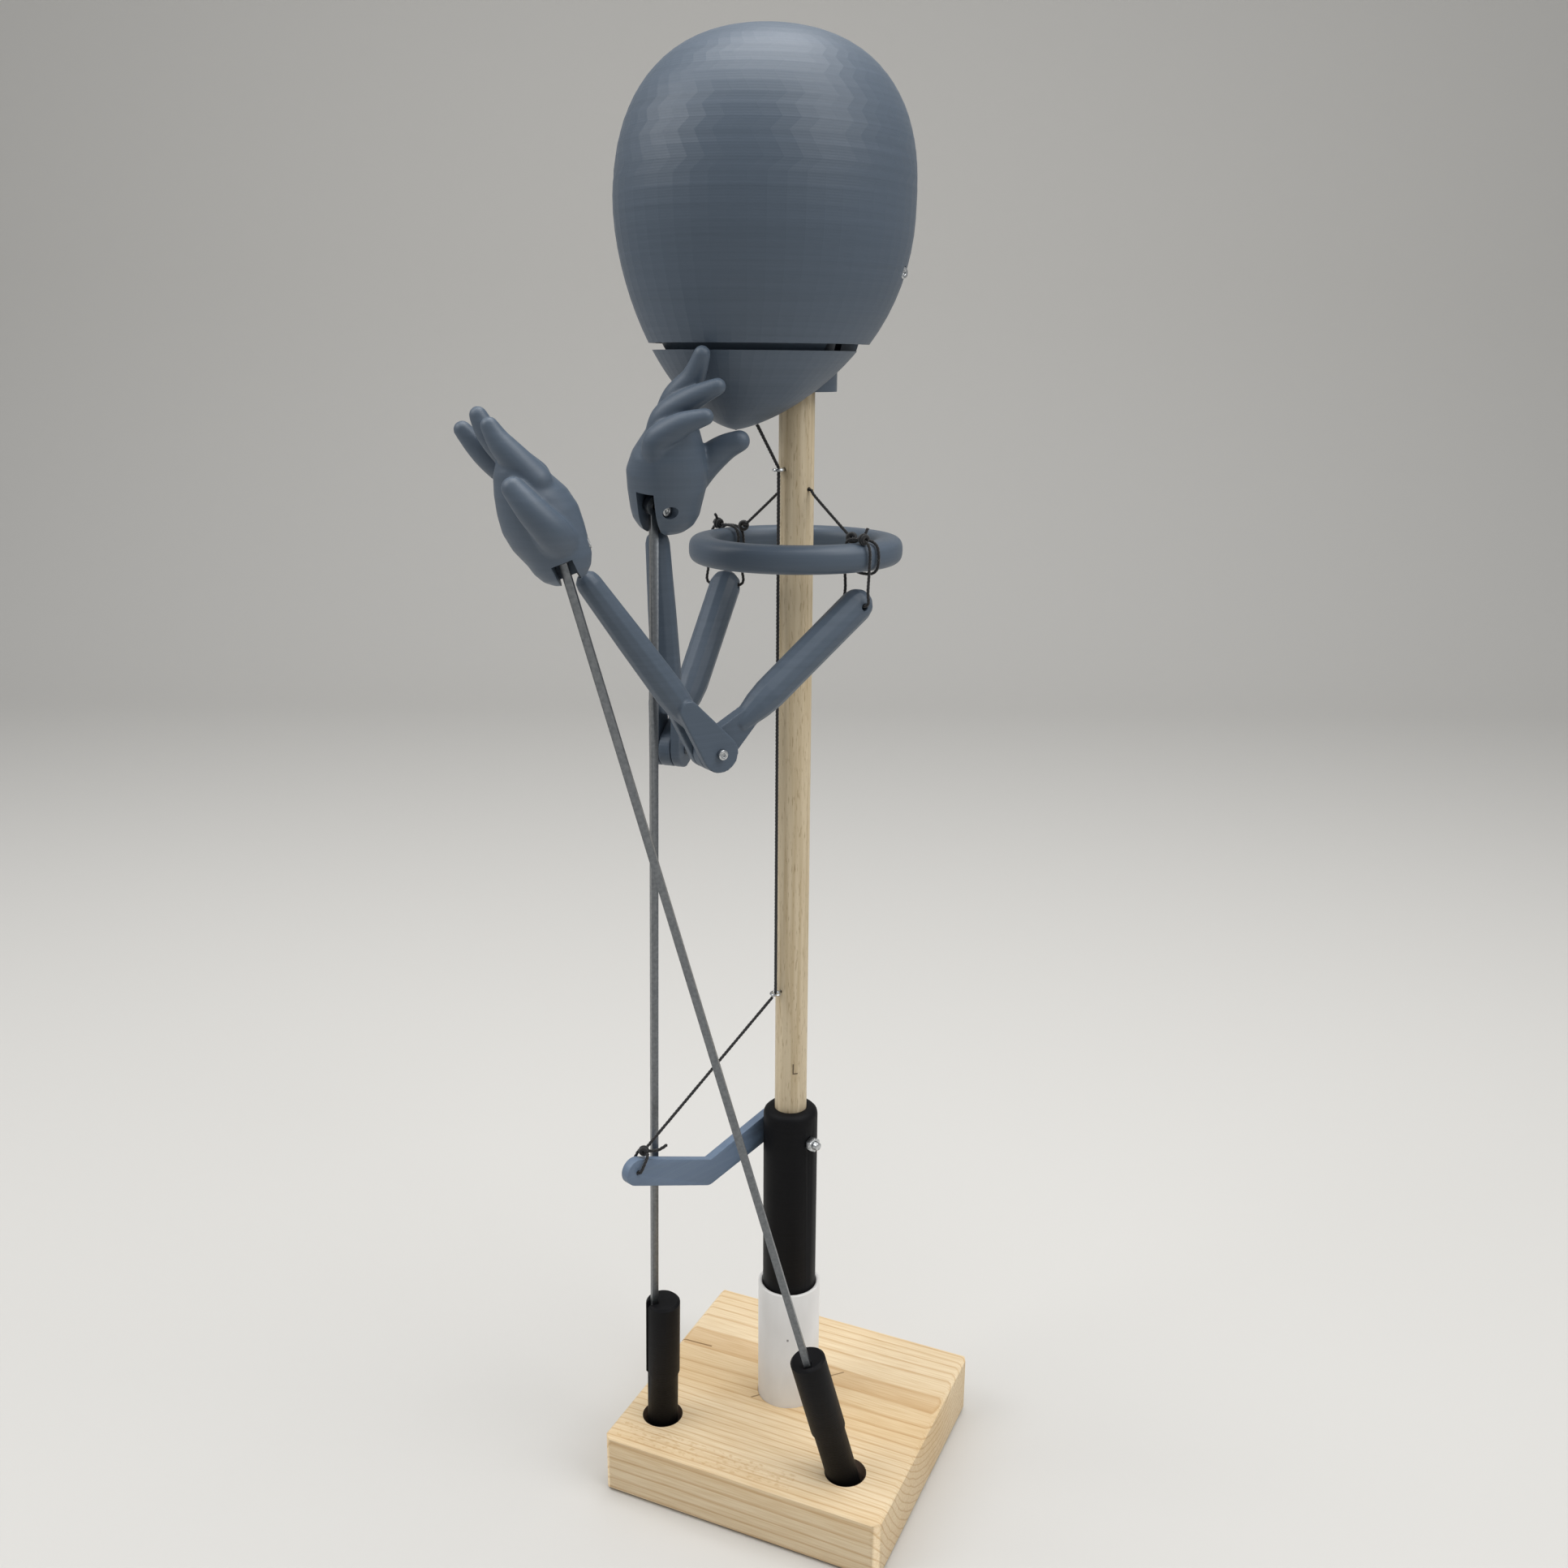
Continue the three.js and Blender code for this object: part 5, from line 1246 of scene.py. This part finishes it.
@dataclass
class ControlCord:
    """The cord from the jaw down the dowel's front to the trigger, and the elastic that shuts the jaw."""

    diameter: float = 2.0
    knot: float = 2.2
    forward: float = 14.2
    eyes: tuple[float, float] = (330.4, 643.2)
    jaw_tie: tuple[float, float] = (31.0, 669.0)
    lever_tie: Point = (-20.35, -104.0, 251.6)
    lever_hole: tuple[float, float] = (-111.0, 241.0)
    elastic: tuple[float, float, float] = (62.0, 677.8, 757.3)

    def build(self) -> None:
        """Builds and dresses every span with its knots."""
        upper_eye, lower_eye = (turned(0, -self.forward, z) for z in reversed(self.eyes))
        jaw = turned(0, -self.jaw_tie[0], self.jaw_tie[1])
        lever = turned(*self.lever_tie)
        toward, up = (lever - lower_eye).normalized(), Vector(UP)
        self.span("control_cord_upper", jaw - up * 1.2, upper_eye + up, ("jaw", upper_eye, jaw))
        self.span("control_cord_middle", upper_eye, lower_eye)
        self.span("control_cord_lower", lower_eye + toward * 2.9, lever - toward * 3.1,
                  ("trigger", lower_eye, lever))
        y, low, high = self.elastic
        start, end = turned(0, -y, high), turned(0, -y, low)
        self.span("jaw_elastic", start, end, ("jaw", start, end))
        self.jaw_knot(jaw)
        self.lever_knot(lever)

    def span(self, node: str, a: Vector, b: Vector, follow: tuple[str, Vector, Vector] | None = None) -> None:
        """Builds one span; where a second body and two points are given, it is left in place, tied to no body.
        """
        blend = (follow[0], tuple(follow[1] * MM), tuple(follow[2] * MM)) if follow else None
        lay_cord(node + "_laid", node, [twisted([a.lerp(b, t / 4) for t in range(5)], self.diameter)], blend)

    def jaw_knot(self, tie: Vector) -> None:
        """Ties the knot inside the jaw and the short end through its floor.

        Args:
            tie: where the cord meets the jaw's floor.
        """
        up = Vector(UP)
        lay_cord("jaw_stop_knot", "jaw_knot", [
            knot_ball(tie + up * 8.2, self.knot, self.diameter, up),
            twisted([tie, tie + up * 4, tie + up * 8], self.diameter)])

    def lever_knot(self, tie: Vector) -> None:
        """Ties the loop through the lever's tip, with the knot and its loose end on top.

        Args:
            tie: where the knot sits.
        """
        hole = turned(self.lever_tie[0], *self.lever_hole)
        aside, back, up = turned(1, 0, 0), turned(0, 1, 0), Vector(UP)

        def at(x: float, z: float) -> Vector:
            """Gives a place beside the lever's hole and above it, leaning back."""
            return hole + aside * x + back * (0.7 * max(z, 0.0)) + up * z

        over, away = 9.6, 4.25
        half = [(away * 0.7, 0), (away + 0.4, 1.5), (away, over - 0.8), (away * 0.6, over)]
        route = [at(x, z) for x, z in half] + [at(-x, z) for x, z in reversed(half)]
        tail = [tie] + [tie + Vector(v) for v in ((4, 1.5, 0), (8.5, 3.5, 1), (12.5, 5.5, 4))]
        lay_cord("lever_tie_knot", "lever_knot", [
            twisted(route, self.diameter, True),
            knot_ball(tie, self.knot, self.diameter, Vector((0.4, -0.9, 0.1))), twisted(tail, self.diameter)])


@dataclass
class Arm:
    """One arm: bars, screws, hand, rod and handle. Angles are in degrees."""

    side: Side
    grasp: Grasp
    palm: float
    lean_forward: float
    lean_side: float
    slot_turn: float
    opening: int
    window_top: float
    behind: float
    slot_skew: float
    heel_growth: float
    palm_rows: tuple[tuple[float, ...], ...] = (
        (-15.2, 2.5, 3, 0, 0), (-13.5, 7.5, 8, 0, 0), (-10, 11.8, 12, 0, -0.3), (-5, 14.6, 14.6, 0, -0.5),
        (0, 16.2, 15.6, 0, -0.8), (9, 18, 18, 0, -2), (18, 19.3, 19, 0, -2.4), (27, 19.5, 17.5, 0.5, -2.8),
        (36, 17.5, 14, 2, -4), (44, 14, 10, 3.5, -5), (49, 9, 6.5, 5, -5), (51.4, 4, 3, 5, -5))
    finger_radii: tuple[float, ...] = (8.3, 7.3, 6.2, 4.3)
    thumb_radii: tuple[float, ...] = (10.4, 8.8, 7.4, 5.5)
    heel: float = 16.2
    heel_swell: float = 0.08
    heel_widen: float = 1.8
    heel_drop: float = 2.5
    seat_depth: float = 4.0
    seat_radius: float = 3.45
    screw_hole: float = 1.8
    slot_width: float = 10.5
    far: float = 60.0

    def joint(self, name: str) -> dict[str, Any]:
        """Gives a joint of this arm from the record."""
        wanted = self.side.named(name)
        return next(j for j in frame["record"]["behaviour"]["joints"] if j["name"] == wanted)

    def hand_frame(self) -> Matrix:
        """Gives the wrist screw's frame: X along the screw, Z to the fingers.

        Returns:
            The frame, in millimetres.
        """
        turns = ((self.palm, "Z"), (self.lean_forward, "X"), (self.lean_side, "Y"), (self.slot_turn, "Z"))
        out = Matrix.Translation(Vector(self.joint("wrist")["pos_m"]) / MM)
        for degrees, axis in turns:
            out = out @ Matrix.Rotation(radians(degrees), 4, axis)
        return out

    def build(self, ring: ShoulderRing) -> None:
        """Builds and dresses the whole arm and the tie that hangs it on the ring.

        Args:
            ring: the ring that it hangs on.
        """
        shoulder = self.joint("shoulder")
        ring.tie(self.side, Vector(shoulder["pos_m"]) / MM, Vector(shoulder["axis"]).normalized())
        for node in ("upper_arm", "forearm"):
            piece = copy_of(self.side.named(node))
            melt(piece, 0.55, 4)
            place(piece, self.side.named(node), SLATE, 60)
        for node, finish, edge in (
                ("elbow_screw", ZINC, 0.4), ("elbow_nut", ZINC, 0.3), ("wrist_screw", ZINC, 0.4),
                ("wrist_nut", ZINC, 0.3), ("arm_rod", ROD_STEEL, 0.5), ("rod_handle", BLACK_PLA, 0.5),
                ("wrist_tie", CORD, 0.5)):
            dressed_copy(self.side.named(node), finish, edge)
        self.hand()

    def skin(self) -> Shell:
        """Gives palm, fingers and thumb as overlapping shells in the hand's frame.

        Returns:
            The shells, side by side.
        """
        rings = []
        for z, a, b, x, y in self.palm_rows:
            low, aside = (self.heel_growth * min(1.0, max(0.0, (edge - z) / 18)) for edge in (18, 36))
            grown, wide = 1 + self.heel_swell * low, self.heel_widen * aside
            rings.append([Vector((x + a * grown * cos(t), y + wide + (b * grown + wide) * sin(t),
                                  z - self.heel_drop * low)) for t in spread(40)])
        *fingers, thumb = ([Vector(point) for point in digit] for digit in self.grasp.value)
        digits = [limb(finger, self.finger_radii) for finger in fingers]
        return merged([loft(rings), *digits, limb(thumb, self.thumb_radii)])

    def slot(self) -> Shell:
        """Gives the room for the rod: a slab through the wrist that opens to one side and below.

        Returns:
            A closed shell.
        """
        far, half, window = self.far, self.slot_width / 2, self.window_top
        outline = [(-far, -far), (far, -far), (far, window), (9, window), (2, 8), (-7, 6), (-8, -12),
                   (-far, -13)]
        outline = [(self.opening * y, z) for y, z in outline][::self.opening]
        slab = loft([[Vector((x, y, z)) for y, z in outline] for x in (-half, half)])
        return moved(slab, Matrix.Rotation(radians(self.slot_skew), 4, "Z"))

    def hand(self) -> None:
        """Builds the hand: its shells melted into one skin, then cut for the rod and its screw."""
        turn = Matrix.Translation((0, -self.behind, 0)) @ Matrix.Rotation(radians(-self.slot_turn), 4, "Z")
        piece = new_object(self.side.named("hand_skin"), moved(self.skin(), turn))
        melt(piece, 0.7, 12)
        seat = sqrt(self.heel**2 - self.behind**2) - self.seat_depth

        def line(start: float, end: float, radius: float) -> Shell:
            """Gives a round bar on the wrist screw's line."""
            return bar(Vector((start, 0, 0)), Vector((end, 0, 0)), radius)

        seats = [line(s * seat, s * self.far, self.seat_radius) for s in (-1, 1)]
        combine(piece, "DIFFERENCE", self.slot(), *seats, line(-self.far, self.far, self.screw_hole))
        matrix = self.hand_frame()
        matrix.translation *= MM
        piece.data.transform(matrix)
        place(piece, self.side.named("hand"), HAND_SLATE, 45)


# Studio


@dataclass(frozen=True)
class Studio:
    """Pale floor, soft lamps and the camera that took the photo."""

    place_mm: Point = (339.89, -779.09, 701.01)
    turn_deg: Point = (74.180, -0.404, 24.0645)
    lens: float = 34.266
    floor_turn: float = 24.0

    def build(self) -> None:
        """Builds floor, world, lamps and camera."""
        scene = bpy.context.scene
        scene.view_settings.view_transform = "Standard"
        data = bpy.data.cameras.new("photo_camera")
        data.sensor_width, data.lens = 36.0, self.lens
        camera = linked("photo_camera", data)
        camera.location = [v * MM for v in self.place_mm]
        camera.rotation_euler = Euler([radians(v) for v in self.turn_deg], "XYZ")
        scene.camera = camera
        self.floor()
        self.light("left_lamp", (-1.4, -1.0, 2.1), (0, 0, 0.65), 1.5, 24)
        self.light("right_lamp", (1.7, -0.1, 2.1), (0, 0, 0.65), 1.5, 22)
        self.light("top_lamp", (0.1, 0.15, 2.4), (0, 0, 0.4), 1.6, 34)
        world = bpy.data.worlds.new("soft_room")
        world.use_nodes = True
        back = world.node_tree.nodes["Background"]
        back.inputs["Color"].default_value = linear("#eef0f2")
        back.inputs["Strength"].default_value = 0.45
        scene.world = world

    def floor(self) -> None:
        """Lays a pale floor that sweeps up behind the object."""
        flat, bend, steps = 2200.0, 900.0, 12
        rows = [(-4000.0, 0.0), (flat, 0.0)]
        for t in [pi / 2 * k / steps for k in range(1, steps + 1)]:
            rows.append((flat + bend * sin(t), bend - bend * cos(t)))
        rows.append((flat + bend, 4000.0))
        points = [Vector((x, y, z - 0.2)) for y, z in rows for x in (-5000, 5000)]
        faces = [(2 * i, 2 * i + 1, 2 * i + 3, 2 * i + 2) for i in range(len(rows) - 1)]
        sweep = new_object("floor_sweep", (points, faces))
        sweep.rotation_euler = (0, 0, radians(self.floor_turn))
        for face in sweep.data.polygons:
            face.use_smooth = True
        paper = bpy.data.materials.new("paper_sweep")
        paper.use_nodes = True
        surface = paper.node_tree.nodes["Principled BSDF"]
        surface.inputs["Base Color"].default_value = linear("#cdcbc7")
        surface.inputs["Roughness"].default_value = 0.9
        sweep.data.materials.append(paper)

    def light(self, name: str, where: Point, aim: Point, size: float, power: float) -> None:
        """Hangs a square soft lamp, in metres and watts, aimed at a point.

        Args:
            name: the lamp's name.
            where: its place.
            aim: the point.
            size: its side.
            power: its power.
        """
        data = bpy.data.lights.new(name, "AREA")
        data.energy, data.size = power, size
        lamp = linked(name, data)
        lamp.location = where
        lamp.rotation_euler = (Vector(aim) - Vector(where)).to_track_quat("-Z", "Y").to_euler()


def main() -> None:
    """Builds the studio and every sub-assembly."""
    logging.basicConfig(level=logging.INFO, format="%(message)s")
    Studio().build()
    ring = ShoulderRing()
    Stand().build()
    MainRod().build()
    ControlCord().build()
    ring.build()
    Arm(Side.LEFT, Grasp.OPEN, palm=-55, lean_forward=20.6, lean_side=-4, slot_turn=85, opening=-1,
        window_top=-4, behind=0, slot_skew=0, heel_growth=0).build(ring)
    Arm(Side.RIGHT, Grasp.PINCHING, palm=108, lean_forward=0, lean_side=-17, slot_turn=46, opening=1,
        window_top=10, behind=9, slot_skew=32, heel_growth=1).build(ring)
    Head().build()
    bpy.context.view_layer.update()


if __name__ == "__main__":
    main()
